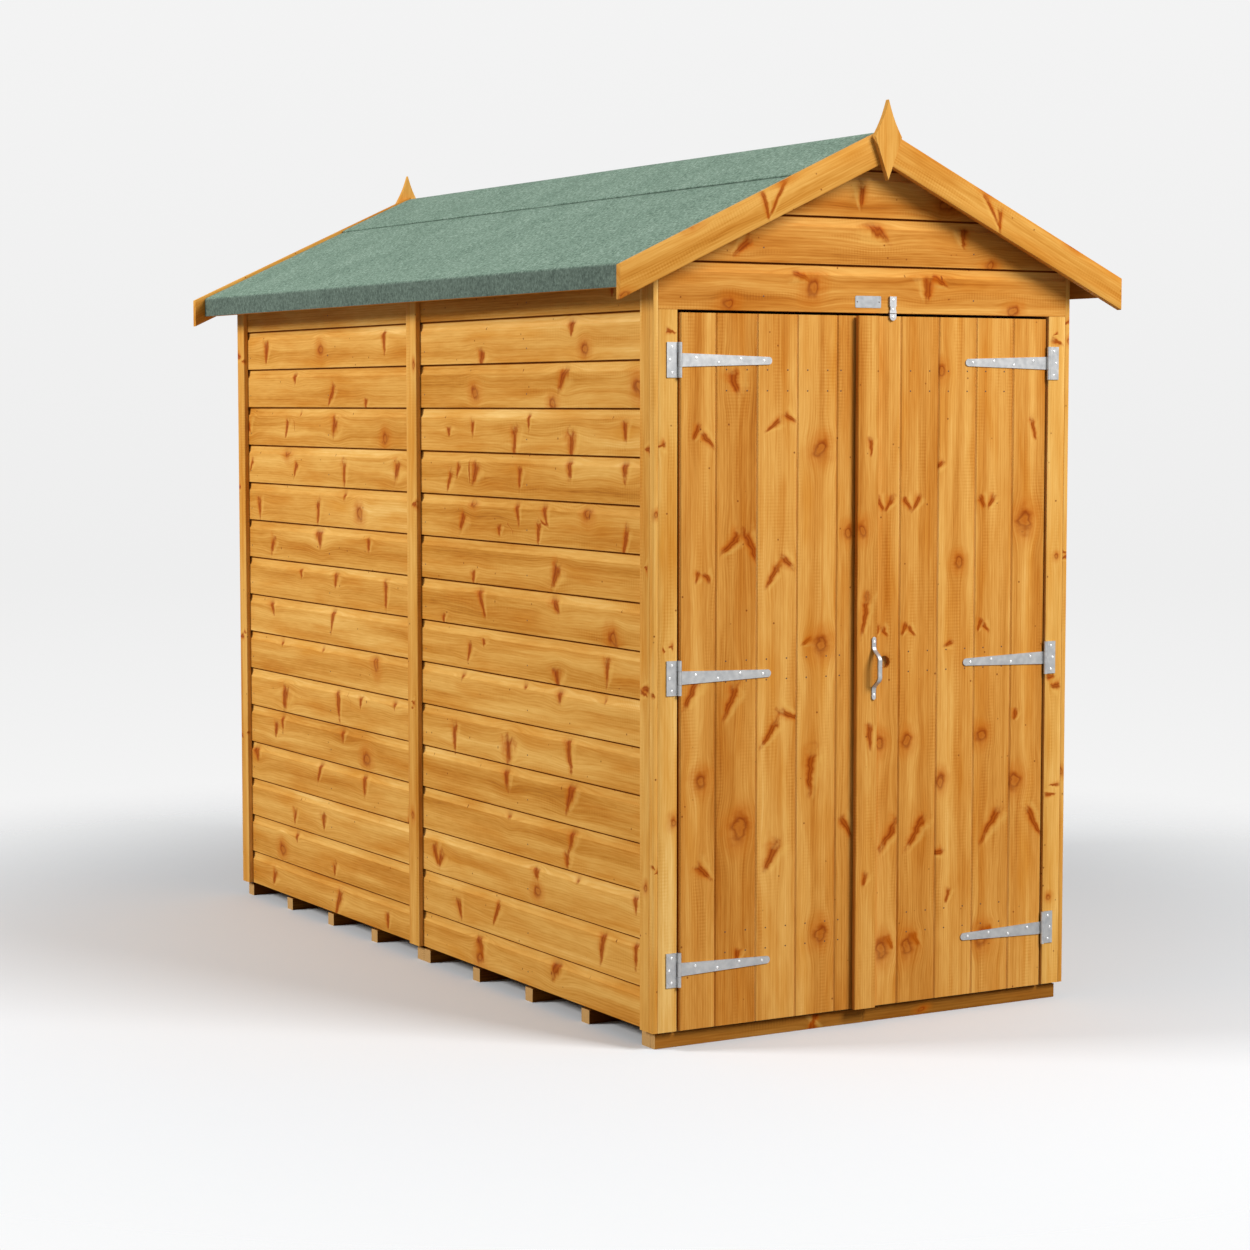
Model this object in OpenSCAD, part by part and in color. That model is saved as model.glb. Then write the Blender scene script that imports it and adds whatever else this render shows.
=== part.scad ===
// Apex garden shed in dip-treated softwood: shiplap walls in two panels a side, a pitched
// felted roof with barge boards and finials, and a pair of ledged doors on T hinges.
// The front and its doors face -Y. The origin is the middle of the footprint, at ground level.

/* [Overall] */
// Width over the corner strips
shed_w = 1190; // [1000:5:1500]
// Length from the face of the doors to the face of the back wall
shed_l = 2438; // [2100:2:3000]

/* [Floor] */
// Width of a bearer
bearer_w = 38; // [28:1:60]
// Height of a bearer
bearer_h = 34; // [25:1:60]
// Gap between the bearers and the lower edge of the cladding and the doors
skirt_gap = 6; // [5:1:10]
// Number of bearers under each half of the length
bearers_per_panel = 5; // [3:1:6]
// Thickness of the facing along the front of the floor
facing_t = 20; // [12:1:30]
// Distance that the bearers stop short of the strips and the end faces
floor_inset = 14; // [13:1:30]
// Thickness of the floor boards
deck_t = 12; // [9:1:20]
// Clearance between the floor boards and the backs of the doors and the end walls
deck_clear = 6; // [5:1:12]
// Gap between two panels that stand side by side
panel_gap = 0.8; // [0.5:0.1:0.9]

/* [Walls] */
// Thickness of the cladding boards
clad_t = 12; // [10:1:18]
// Height that one board covers
board_cover = 111.2; // [90:0.1:140]
// Height of the lowest board
starter_cover = 97; // [60:1:110]
// Number of whole boards between the lowest board and the door head
boards_to_head = 14; // [12:1:15]
// Height of the hollow along the top of a board
scoop_h = 24; // [10:1:30]
// Depth of that hollow
scoop_d = 5; // [2:0.5:7]
// Depth of the frame timber
stud_d = 28; // [20:1:45]
// Face width of the frame timber
stud_w = 38; // [28:1:50]
// Thickness of the cover strips
strip_t = 13; // [8:1:20]
// Width of the strip behind the front corner
front_strip_w = 44; // [30:1:60]
// Width of the strip over the joint between two wall panels
mid_strip_w = 60; // [40:1:80]
// Width of the strip at the back corner
back_strip_w = 50; // [30:1:70]
// Depth of the bead that closes the front corner
bead_d = 16; // [13:1:24]

/* [Roof] */
// Pitch of the roof in degrees
roof_pitch = 24.87; // [18:0.01:30]
// Height of the side walls above the door head
wall_rise = 131; // [100:1:200]
// Distance that the roof boards run past the walls at the eaves
eave_overhang = 85; // [60:1:150]
// Distance that the roof boards run past the walls at each end
gable_overhang = 37; // [20:1:80]
// Thickness of the roof boards
roof_t = 12; // [9:1:18]
// Gap between sloping pieces that lie on each other
slope_seat = 0.3; // [0.2:0.1:0.5]
// Thickness of the felt
felt_t = 2; // [1.5:0.1:3]
// Height of the felt turned down over the eave
drip_h = 53; // [40:1:60]
// Distance from the ridge to the edge of the ridge felt
ridge_felt_w = 230; // [150:1:300]
// Width of the battens under the eave
eave_batten_w = 22; // [15:1:35]
// Distance of the middle purlins from the ridge
purlin_x = 290; // [200:1:400]

/* [Barge boards and finials] */
// Width of a barge board
barge_w = 70; // [50:1:100]
// Thickness of a barge board
barge_t = 18; // [12:1:25]
// Distance that a barge board runs past the roof boards at the eave
barge_reach = 32; // [10:1:60]
// Height that a barge board stands above the felt
barge_rise = 9; // [4:1:20]
// Thickness of a finial
finial_t = 13; // [9:1:20]
// Half the width of a finial at its shoulders
finial_half_w = 38.7; // [25:0.1:60]
// Height of the finial's point above the top of the barge boards
finial_up = 66; // [30:1:120]
// Depth of the shoulders below the top of the barge boards
finial_shoulder = 20; // [5:1:40]
// Depth of the lower point below the top of the barge boards
finial_down = 120; // [90:1:180]
// Depth of the hollow in the upper sides of a finial
finial_hollow = 3; // [0:0.5:6]

/* [Doors] */
// Width of the front posts
post_w = 51; // [40:1:80]
// Gap between a door and its post
side_gap = 7; // [5:0.5:8]
// Gap over the doors
head_gap = 6.5; // [5:0.5:10]
// Gap between the two doors
meet_gap = 6; // [6:0.5:8]
// Distance from the middle to the line where the doors meet, to the left
meet_offset = 15; // [0:1:30]
// Thickness of the door boards
door_t = 12; // [10:1:18]
// Width that one door board covers
door_cover = 111.5; // [90:0.5:130]
// Width of the left door's board at its free edge
left_free_board = 75.5; // [60:0.5:110]
// Width of the right door's board at its free edge, which has the finger hole
right_free_board = 100.5; // [90:0.5:120]
// Narrowest board that is left next to the hinges
edge_board_min = 30; // [20:1:60]
// Width of the groove between two door boards
groove_w = 4; // [2:0.5:6]
// Depth of that groove
groove_d = 2.5; // [1:0.5:4]
// Width of a ledge across the back of a door
ledge_w = 95; // [70:1:120]
// Thickness of a ledge
ledge_t = 18; // [12:1:22]
// Distance that a ledge stops short of the door's edges
ledge_inset = 24; // [15:1:40]
// Height of the lower ledge's middle above the bottom of the door
ledge_low_up = 195; // [150:1:260]
// Height of the middle ledge's middle above the bottom of the door
ledge_mid_up = 826; // [780:1:860]
// Depth of the upper ledge's middle below the top of the door
ledge_top_down = 152; // [100:1:240]
// Width of the strip that covers the joint between the doors
meet_strip_w = 60; // [45:1:80]
// Thickness of that strip
meet_strip_t = 16; // [12:1:22]
// Part of that strip that laps over the left door
meet_strip_lap = 33; // [20:1:40]
// Clearance between that strip and the left door
lap_clear = 5; // [5:0.5:8]

/* [Hinges] */
// Height of the lower hinges above the bottom of the door
hinge_low_up = 143; // [80:1:220]
// Height of the middle hinges above the bottom of the door
hinge_mid_up = 817; // [740:1:910]
// Depth of the upper hinges below the top of the door
hinge_top_down = 107; // [80:1:220]
// Length of a strap from the hinge pin to its tip
strap_l = 250; // [150:1:400]
// Width of a strap at the knuckle
strap_w = 31; // [20:1:45]
// Width of a strap at its tip
strap_tip_w = 17.5; // [10:0.5:20]
// Thickness of the hinge plates and straps
strap_t = 2.5; // [1.5:0.5:3]
// Height of a hinge plate
plate_h = 80; // [60:1:110]
// Distance from the hinge pin to the far edge of its plate
plate_reach = 33; // [24:1:40]
// Radius of a knuckle
knuckle_r = 5; // [4:0.5:6]
// Radius of a hinge pin
pin_r = 2.5; // [2:0.1:3]
// Gap between a knuckle and the face of the door
knuckle_seat = 0.3; // [0.2:0.1:0.5]
// Running clearance round a hinge pin
pin_clear = 0.1; // [0.05:0.01:0.2]
// Clearance between knuckles along the pin
knuckle_clear = 0.5; // [0.3:0.1:1]

/* [Handle and catch] */
// Height of the pull handle's middle above the bottom of the door
handle_up = 816; // [760:1:910]
// Length of the pull handle
handle_l = 150; // [110:1:200]
// Distance of the handle from the free edge of the right door
handle_x = 15; // [8:1:20]
// Width of the handle's bar
handle_w = 12; // [10:1:18]
// Thickness of the handle's bar
handle_t = 4; // [3:0.5:6]
// Length of the handle's end plates
handle_foot_l = 30; // [20:1:36]
// Distance from the cover strip to the outside of the bar
handle_proud = 30; // [24:1:45]
// Length of the straight grip
handle_grip_l = 52; // [30:1:70]
// Radius of the finger hole
hole_r = 15; // [10:0.5:18]
// Distance of the finger hole from the free edge of the right door
hole_x = 58; // [52:1:65]
// Height of the finger hole above the middle of the handle
hole_up = 12; // [0:1:30]
// Distance of the catch from the free edge of the right door
catch_x = 73; // [50:1:200]
// Width of the catch
catch_w = 19; // [12:1:30]
// Width of the catch at its neck
catch_neck_w = 15; // [8:1:18]
// Radius of the hollows beside the neck
catch_hollow_r = 10; // [6:1:14]
// Height of the neck above the door head
catch_neck_up = 12; // [8:1:14]
// Thickness of the catch
catch_t = 5; // [3:0.5:8]
// Height of the catch above the door head
catch_up = 40; // [25:1:70]
// Depth of the catch below the top of the door
catch_down = 10; // [6:1:30]
// Clearance between the two halves of the catch
catch_clear = 1.5; // [1:0.1:3]

/* [Hidden] */
$fn = 48;

front_y = -shed_l/2;
back_y = shed_l/2;
strip_x = shed_w/2;
clad_x = strip_x - strip_t;
frame_x = clad_x - clad_t;
frame_y = shed_l/2 - clad_t;
room_y = frame_y - stud_d;

skirt_z = bearer_h + skirt_gap;
deck_z = bearer_h + deck_t;
deck_y = shed_l/2 - max(clad_t, door_t) - deck_clear;
lap_z = skirt_z + starter_cover;
head_z = lap_z + boards_to_head*board_cover;
first_gable_row = boards_to_head + 1;

pitch_tan = tan(roof_pitch);
roof_rise = roof_t/cos(roof_pitch);
felt_rise = felt_t/cos(roof_pitch);
roof_half_w = strip_x + eave_overhang;
ridge_z = head_z + wall_rise + pitch_tan*clad_x + roof_rise;
board_rows = ceil((ridge_z - lap_z)/board_cover);
barge_rise_z = barge_w/cos(roof_pitch);
barge_z = ridge_z + felt_rise + barge_rise;
barge_x = roof_half_w + barge_reach;
roof_y = shed_l/2 + gable_overhang;
drip_z = roof_top(roof_half_w) + felt_rise - drip_h;

post_x = clad_x - post_w;
door_x = post_x - side_gap;
left_meet_x = -meet_offset - meet_gap/2;
right_meet_x = -meet_offset + meet_gap/2;
door_back_y = front_y + door_t;
door_top_z = head_z - head_gap;
ledge_rows = [skirt_z + ledge_low_up, skirt_z + ledge_mid_up, door_top_z - ledge_top_down];

hinge_x = (post_x + door_x)/2;
hinge_y = front_y - knuckle_seat - knuckle_r;
strap_root = knuckle_r/2;
hinge_rows = [skirt_z + hinge_low_up, skirt_z + hinge_mid_up, door_top_z - hinge_top_down];
meet_strip_y = front_y - meet_strip_t;
handle_z = skirt_z + handle_up;
hole_z = handle_z + hole_up;
cut_overrun = 1;

// Places of the grooves between the door boards, counted from the free edges
lock_board_x = right_meet_x + right_free_board;
right_grooves = [for (x = [lock_board_x : door_cover : door_x - edge_board_min]) x];
left_grooves = [for (x = [left_free_board - left_meet_x : door_cover : door_x - edge_board_min]) -x];

softwood = "goldenrod";
pale_wood = "burlywood";
felt_green = "darkseagreen";
zinc = "gainsboro";

// Heights of the roof boards' two faces, what carries them and the felt at a distance x from the ridge
function roof_top(x) = ridge_z - pitch_tan*x;
function roof_under(x) = roof_top(x) - roof_rise;
function roof_seat_z(x) = roof_under(x) - slope_seat;
function felt_top(x) = roof_top(x) + felt_rise;
function ridge_felt_z(x) = felt_top(x) + slope_seat;

// Height of the lower edge of cladding board number row
function board_z(row) = row == 0 ? skirt_z : lap_z + (row - 1)*board_cover;

// A box between two corners
module slab(low, high) {
    translate(low) cube(high - low);
}

// A profile drawn in x and z, run from y0 to y1
module along_y(y0, y1) {
    translate([0, y1, 0]) rotate([90, 0, 0]) linear_extrude(y1 - y0) children();
}

// A profile drawn in y and z, run from x0 to x1
module along_x(x0, x1) {
    translate([x0, 0, 0]) rotate([90, 0, 90]) linear_extrude(x1 - x0) children();
}

// The same piece on the left and on the right
module both_sides() {
    children();
    mirror([1, 0, 0]) children();
}

// All of the space below the roof boards, to trim what meets them
module under_roof() {
    far = 2*roof_half_w;
    along_y(-2*roof_y, 2*roof_y) polygon([
        [-far, 0], [far, 0], [far, roof_seat_z(far)], [0, roof_seat_z(0)], [-far, roof_seat_z(far)]
    ]);
}

// Section of shiplap cladding from board first up, with its inner face at 0. Above the face of
// each board a hollow runs in and up to the lower edge of the next one.
module shiplap(first) {
    face = [for (row = [first : board_rows]) each [
        [clad_t, board_z(row)],
        for (a = [0 : 30 : 90]) [
            clad_t - scoop_d*sin(a),
            board_z(row + 1) - scoop_h*cos(a)
        ]
    ]];
    polygon(concat([[0, board_z(first)]], face, [[0, board_z(board_rows + 1)]]));
}

// Floor
module floor_bearers() {
    end_x = strip_x - floor_inset;
    front = front_y + floor_inset;
    back = back_y - floor_inset;
    facing_y = front + facing_t;
    color(pale_wood) both_sides() {
        slab([panel_gap/2, front, 0], [end_x, facing_y, bearer_h]);
        bearer_row(panel_gap/2, end_x, facing_y + panel_gap, -panel_gap/2);
        bearer_row(panel_gap/2, end_x, panel_gap/2, back);
    }
}

module bearer_row(x0, x1, y0, y1) {
    pitch = (y1 - y0 - bearer_w)/(bearers_per_panel - 1);
    for (i = [0 : bearers_per_panel - 1])
        slab([x0, y0 + i*pitch, 0], [x1, y0 + i*pitch + bearer_w, bearer_h]);
}

module floor_deck() {
    color(pale_wood) both_sides() for (end = [-1, 1])
        scale([1, end, 1])
            slab([panel_gap/2, panel_gap/2, bearer_h], [frame_x - panel_gap, deck_y, deck_z]);
}

// Walls
module side_cladding(y0, y1) {
    color(softwood) intersection() {
        along_y(y0, y1) translate([frame_x, 0]) shiplap(0);
        under_roof();
    }
}

module right_wall_front() { side_cladding(-frame_y, -panel_gap/2); }
module right_wall_back() { side_cladding(panel_gap/2, frame_y); }
module left_wall_front() { mirror([1, 0, 0]) right_wall_front(); }
module left_wall_back() { mirror([1, 0, 0]) right_wall_back(); }

module back_wall() {
    color(softwood) intersection() {
        along_x(-clad_x, clad_x) translate([frame_y, 0]) shiplap(0);
        under_roof();
    }
}

module front_gable() {
    color(softwood) intersection() {
        along_x(-clad_x, clad_x) mirror([1, 0]) translate([frame_y, 0]) shiplap(first_gable_row);
        under_roof();
    }
}

// Frame inside a side wall: a stud at each end and in the middle of both panels
module right_wall_studs() {
    low = deck_z + stud_w;
    high = roof_under(frame_x) - stud_w;
    first = panel_gap/2;
    last = room_y - stud_w;
    color(pale_wood) for (end = [-1, 1]) scale([1, end, 1]) for (y = [first, (first + last)/2, last])
        slab([frame_x - stud_d, y, low], [frame_x, y + stud_w, high]);
}

module right_wall_rails() {
    color(pale_wood) for (end = [-1, 1]) scale([1, end, 1]) {
        slab([frame_x - stud_d, panel_gap/2, deck_z], [frame_x, room_y, deck_z + stud_w]);
        intersection() {
            slab([frame_x - stud_d, panel_gap/2, roof_under(frame_x) - stud_w], [frame_x, room_y, ridge_z]);
            under_roof();
        }
    }
}

module left_wall_studs() { mirror([1, 0, 0]) right_wall_studs(); }
module left_wall_rails() { mirror([1, 0, 0]) right_wall_rails(); }

module back_wall_studs() {
    color(pale_wood) intersection() {
        for (x = [-frame_x, -stud_w/2, frame_x - stud_w])
            slab([x, room_y, deck_z], [x + stud_w, frame_y, ridge_z]);
        under_roof();
    }
}

module back_wall_rails() {
    color(pale_wood) both_sides() for (z = [deck_z, head_z])
        slab([stud_w/2, room_y, z], [frame_x - stud_w, frame_y, z + stud_w]);
}

// Front: posts beside the doors, the studs behind them and the rail over the doors
module front_posts() {
    color(softwood) both_sides()
        slab([post_x, front_y, skirt_z], [clad_x, -frame_y, head_z]);
}

module front_studs() {
    color(pale_wood) intersection() {
        both_sides() slab([frame_x - stud_w, -frame_y, deck_z], [frame_x, -room_y, ridge_z]);
        under_roof();
    }
}

module head_rail() {
    color(pale_wood)
        slab([stud_w - frame_x, -frame_y, head_z], [frame_x - stud_w, -room_y, head_z + stud_w]);
}

module corner_beads() {
    color(softwood) intersection() {
        both_sides() slab([clad_x, front_y, skirt_z], [strip_x, front_y + bead_d, ridge_z]);
        under_roof();
    }
}

module right_cover_strips() {
    color(softwood) intersection() {
        union() {
            cover_strip(front_y + bead_d, front_strip_w);
            cover_strip(0, mid_strip_w);
            cover_strip(back_y - back_strip_w, back_strip_w);
        }
        under_roof();
    }
}

module cover_strip(y0, width) {
    slab([clad_x, y0, skirt_z], [strip_x, y0 + width, ridge_z]);
}

module left_cover_strips() { mirror([1, 0, 0]) right_cover_strips(); }

// Roof
module roof_panel_right() {
    color(pale_wood) along_y(-roof_y, roof_y) polygon([
        [0, roof_top(0)], [roof_half_w, roof_top(roof_half_w)],
        [roof_half_w, roof_under(roof_half_w)], [0, roof_under(0)]
    ]);
}

module roof_panel_left() { mirror([1, 0, 0]) roof_panel_right(); }

module purlins() {
    color(pale_wood) both_sides() {
        purlin(panel_gap/2);
        purlin(purlin_x);
    }
}

module purlin(x0) {
    x1 = x0 + stud_w;
    low = roof_under(x1) - stud_d;
    along_y(-room_y, room_y)
        polygon([[x0, roof_seat_z(x0)], [x1, roof_seat_z(x1)], [x1, low], [x0, low]]);
}

module eave_battens() {
    inner_x = roof_half_w - eave_batten_w;
    color(pale_wood) both_sides() along_y(-roof_y, roof_y) polygon([
        [inner_x, roof_seat_z(inner_x)], [roof_half_w, roof_seat_z(roof_half_w)],
        [roof_half_w, drip_z], [inner_x, drip_z]
    ]);
}

module felt_right() {
    edge_x = roof_half_w + felt_t;
    color(felt_green) along_y(-roof_y, roof_y) polygon([
        [0, felt_top(0)], [edge_x, felt_top(edge_x)], [edge_x, drip_z],
        [roof_half_w, drip_z], [roof_half_w, roof_top(roof_half_w)], [0, roof_top(0)]
    ]);
}

module felt_left() { mirror([1, 0, 0]) felt_right(); }

module felt_ridge() {
    edge_z = ridge_felt_z(ridge_felt_w);
    color(felt_green) along_y(-roof_y, roof_y) polygon([
        [-ridge_felt_w, edge_z], [0, ridge_felt_z(0)], [ridge_felt_w, edge_z],
        [ridge_felt_w, edge_z + felt_rise], [0, ridge_felt_z(0) + felt_rise], [-ridge_felt_w, edge_z + felt_rise]
    ]);
}

// Barge boards, plumb cut at the ridge and at the eave
module barge_back_right() {
    fall = pitch_tan*barge_x;
    color(softwood) along_y(roof_y, roof_y + barge_t) polygon([
        [0, barge_z], [barge_x, barge_z - fall],
        [barge_x, barge_z - fall - barge_rise_z], [0, barge_z - barge_rise_z]
    ]);
}

module barge_back_left() { mirror([1, 0, 0]) barge_back_right(); }
module barge_front_right() { mirror([0, 1, 0]) barge_back_right(); }
module barge_front_left() { mirror([1, 0, 0]) barge_front_right(); }

// Kite-shaped finials, with the upper sides a little hollow
module finial_back() {
    rise = finial_up + finial_shoulder;
    side = [for (t = [0 : 0.125 : 1]) [
        finial_half_w*t - finial_hollow*sin(180*t),
        barge_z + finial_up - rise*t - finial_hollow*sin(180*t)*finial_half_w/rise
    ]];
    other_side = [for (i = [len(side) - 1 : -1 : 1]) [-side[i][0], side[i][1]]];
    y0 = roof_y + barge_t;
    color(softwood) along_y(y0, y0 + finial_t)
        polygon(concat(side, [[0, barge_z - finial_down]], other_side));
}

module finial_front() { mirror([0, 1, 0]) finial_back(); }

// Section of door boards from x0 to x1, with a V groove at each x in grooves
module door_section(x0, x1, grooves) {
    difference() {
        translate([x0, front_y]) square([x1 - x0, door_t]);
        for (x = grooves)
            translate([x, front_y]) polygon([[-groove_w/2, 0], [0, groove_d], [groove_w/2, 0]]);
    }
}

module door_slab() {
    translate([0, 0, skirt_z]) linear_extrude(door_top_z - skirt_z) children();
}

module ledge_set(x0, x1) {
    color(pale_wood) for (z = ledge_rows)
        slab(
            [x0 + ledge_inset, door_back_y, z - ledge_w/2],
            [x1 - ledge_inset, door_back_y + ledge_t, z + ledge_w/2]
        );
}

module left_door_boards() {
    color(softwood) door_slab() door_section(-door_x, left_meet_x, left_grooves);
}

module left_door_ledges() { ledge_set(-door_x, left_meet_x); }

module right_door_boards() {
    color(softwood) door_slab() door_section(lock_board_x, door_x, right_grooves);
}

// The board at the free edge of the right door, with its finger hole
module right_lock_board() {
    color(softwood) difference() {
        door_slab() door_section(right_meet_x, lock_board_x, [lock_board_x]);
        translate([right_meet_x + hole_x, door_back_y + cut_overrun, hole_z])
            rotate([90, 0, 0]) cylinder(r = hole_r, h = door_t + 2*cut_overrun);
    }
}

module right_door_ledges() { ledge_set(right_meet_x, door_x); }

// Strip over the joint of the doors, thinner where it laps over the left door
module meeting_strip() {
    x0 = right_meet_x - meet_strip_lap;
    x1 = x0 + meet_strip_w;
    color(softwood) door_slab() polygon([
        [x0, meet_strip_y], [x1, meet_strip_y], [x1, front_y],
        [right_meet_x, front_y], [right_meet_x, front_y - lap_clear], [x0, front_y - lap_clear]
    ]);
}

// T hinges on the right side, set on the face of the door and the post
module hinge_plate(z) {
    low = strap_w/2 + knuckle_clear;
    near = hinge_x + knuckle_r + knuckle_clear;
    slab([near, front_y - strap_t, z - plate_h/2], [hinge_x + plate_reach, front_y, z + plate_h/2]);
    for (side = [-1, 1]) translate([0, 0, z]) scale([1, 1, side]) {
        slab([hinge_x + strap_root, front_y - strap_t, low], [near, front_y, plate_h/2]);
        translate([hinge_x, hinge_y, low]) cylinder(r = knuckle_r, h = plate_h/2 - low);
    }
    translate([hinge_x, hinge_y, z - plate_h/2]) cylinder(r = pin_r, h = plate_h);
}

// A strap on the door, turned so that it runs from its knuckle at x towards the middle
module hinge_strap(x, turn, z) {
    translate([x, 0, z]) difference() {
        union() {
            translate([0, hinge_y, -strap_w/2]) cylinder(r = knuckle_r, h = strap_w);
            along_y(front_y - strap_t, front_y) rotate(turn) strap_outline();
        }
        translate([0, hinge_y, -strap_w]) cylinder(r = pin_r + pin_clear, h = 2*strap_w);
    }
}

// Tapered strap with a round tip
module strap_outline() {
    tip_r = strap_tip_w/2;
    polygon([
        [strap_root, -strap_w/2], [strap_l - tip_r, -tip_r],
        [strap_l - tip_r, tip_r], [strap_root, strap_w/2]
    ]);
    translate([strap_l - tip_r, 0]) circle(r = tip_r);
}

module hinge_plates() {
    color(zinc) both_sides() for (z = hinge_rows) hinge_plate(z);
}

module right_hinge_straps() {
    color(zinc) for (z = hinge_rows) hinge_strap(hinge_x, 180, z);
}

module left_hinge_straps() {
    color(zinc) for (z = hinge_rows) hinge_strap(-hinge_x, 0, z);
}

// Bow handle: a flat bar bent out from two end plates with round ends
module pull_handle() {
    end = handle_l/2;
    foot = end - handle_foot_l;
    grip = handle_grip_l/2;
    bend = handle_t/4;
    outer = [
        [-handle_t, end], [-handle_t, foot + bend], [-handle_proud, grip + bend],
        [-handle_proud, -grip - bend], [-handle_t, -foot - bend], [-handle_t, -end]
    ];
    inner = [
        [0, -end], [0, bend - foot], [handle_t - handle_proud, bend - grip],
        [handle_t - handle_proud, grip - bend], [0, foot - bend], [0, end]
    ];
    color(zinc) translate([right_meet_x + handle_x, meet_strip_y, handle_z]) intersection() {
        along_x(-handle_w/2, handle_w/2) polygon(concat(outer, inner));
        along_y(-handle_proud, 0) {
            square([handle_w, handle_l - handle_w], center = true);
            for (side = [-1, 1])
                translate([0, side*(handle_l - handle_w)/2]) circle(d = handle_w);
        }
    }
}

// Catch over the right door, in a fixed half and a half on the door
module head_catch() {
    low = head_z + catch_clear/2;
    hollow_x = catch_neck_w/2 + catch_hollow_r;
    color(zinc) catch_face() difference() {
        translate([-catch_w/2, low]) square([catch_w, head_z + catch_up - low]);
        for (side = [-1, 1])
            translate([side*hollow_x, head_z + catch_neck_up]) circle(r = catch_hollow_r);
    }
}

module catch_keep() {
    high = head_z - catch_clear/2;
    r = catch_w/2;
    low = door_top_z - catch_down;
    color(zinc) catch_face() intersection() {
        translate([-r, low]) square([catch_w, high - low]);
        union() {
            translate([0, low + r]) circle(r = r);
            translate([-r, low + r]) square([catch_w, head_gap + catch_down]);
        }
    }
}

module catch_face() {
    along_y(front_y - catch_t, front_y) translate([right_meet_x + catch_x, 0]) children();
}

floor_bearers();
floor_deck();
left_wall_front();
left_wall_back();
right_wall_front();
right_wall_back();
back_wall();
front_gable();
left_wall_studs();
left_wall_rails();
right_wall_studs();
right_wall_rails();
back_wall_studs();
back_wall_rails();
front_posts();
front_studs();
head_rail();
corner_beads();
left_cover_strips();
right_cover_strips();
roof_panel_left();
roof_panel_right();
purlins();
eave_battens();
felt_left();
felt_right();
felt_ridge();
barge_front_left();
barge_front_right();
barge_back_left();
barge_back_right();
finial_front();
finial_back();
hinge_plates();
head_catch();
left_door_boards();
left_door_ledges();
left_hinge_straps();
right_door_boards();
right_lock_board();
right_door_ledges();
right_hinge_straps();
meeting_strip();
pull_handle();
catch_keep();
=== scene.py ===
# %% [markdown]
# A wooden garden shed
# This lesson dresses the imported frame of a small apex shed: shiplap walls, a pair of ledged doors and a
# felted roof, all in softwood that was dipped in a honey-coloured treatment. The frame gives every place
# and size, so each new piece is worked out from a node of the frame and then stands in for that node.

import bpy
import numpy as np
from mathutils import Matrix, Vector


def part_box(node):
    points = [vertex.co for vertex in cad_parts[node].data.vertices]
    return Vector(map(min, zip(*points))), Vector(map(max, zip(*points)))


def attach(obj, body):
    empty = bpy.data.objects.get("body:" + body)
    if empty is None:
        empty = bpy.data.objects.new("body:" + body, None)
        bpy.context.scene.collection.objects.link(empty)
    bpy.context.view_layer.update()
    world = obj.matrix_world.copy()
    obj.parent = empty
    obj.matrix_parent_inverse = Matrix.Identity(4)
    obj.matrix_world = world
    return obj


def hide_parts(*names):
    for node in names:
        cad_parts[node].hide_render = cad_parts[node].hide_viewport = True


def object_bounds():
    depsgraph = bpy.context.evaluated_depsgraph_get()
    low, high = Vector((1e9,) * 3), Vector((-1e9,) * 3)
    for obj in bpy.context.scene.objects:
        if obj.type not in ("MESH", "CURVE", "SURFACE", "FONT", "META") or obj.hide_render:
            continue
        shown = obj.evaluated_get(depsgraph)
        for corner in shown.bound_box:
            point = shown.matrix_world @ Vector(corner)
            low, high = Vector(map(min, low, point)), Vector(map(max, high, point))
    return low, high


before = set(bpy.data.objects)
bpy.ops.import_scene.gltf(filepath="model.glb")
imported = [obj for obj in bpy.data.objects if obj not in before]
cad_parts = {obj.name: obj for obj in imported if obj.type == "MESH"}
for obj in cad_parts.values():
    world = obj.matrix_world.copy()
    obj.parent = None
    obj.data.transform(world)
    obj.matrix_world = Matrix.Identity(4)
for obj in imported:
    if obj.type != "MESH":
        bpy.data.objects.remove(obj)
cad_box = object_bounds()
X, Y, Z = np.eye(3)

# %% [markdown]
# The camera
# The picture was taken from about head height, to the left of the doors, with a long lens. A lens is given
# in millimetres on a 36 mm sensor, so a focal length in pixels of a 1250 pixel image turns into millimetres
# by one ratio. The place and the two angles were fitted to the corners of the shed.

# %% Camera
IMAGE_PX = 1250
FOCAL_PX = 2826.7
SENSOR_MM = 36
CAMERA_PLACE = (-3.8553, -6.7128, 1.4795)
CAMERA_YAW = np.radians(30.117)
CAMERA_DOWN = np.radians(4.459)

lens = bpy.data.cameras.new("camera")
lens.sensor_width = SENSOR_MM
lens.lens = FOCAL_PX * SENSOR_MM / IMAGE_PX
camera = bpy.data.objects.new("camera", lens)
camera.location = CAMERA_PLACE
camera.rotation_euler = (np.pi / 2 - CAMERA_DOWN, 0, -CAMERA_YAW)
scene = bpy.context.scene
scene.collection.objects.link(camera)
scene.camera = camera
scene.view_settings.view_transform = "Standard"
print("lens:", round(lens.lens, 2), "mm")

# %% [markdown]
# Helpers for materials
# A colour is picked on a screen, so it is an sRGB hex value, while a shader works with light and wants
# linear numbers. The next helpers feed a node's inputs with values or links, and add one node with its
# settings. Everything below that builds a material goes through them, and adding a node hands back the
# output that the next node reads.


# %% Colour and node helpers
def linear(hex_code, alpha=1.0):
    """sRGB to linear light: a twelfth or so of the value up to 0.04045, and above it a power of 2.4."""
    srgb = np.array([int(hex_code[i:i + 2], 16) for i in (0, 2, 4)]) / 255
    light = np.where(srgb <= 0.04045, srgb / 12.92, ((srgb + 0.055) / 1.055) ** 2.4)
    return (*light.tolist(), alpha)


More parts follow.
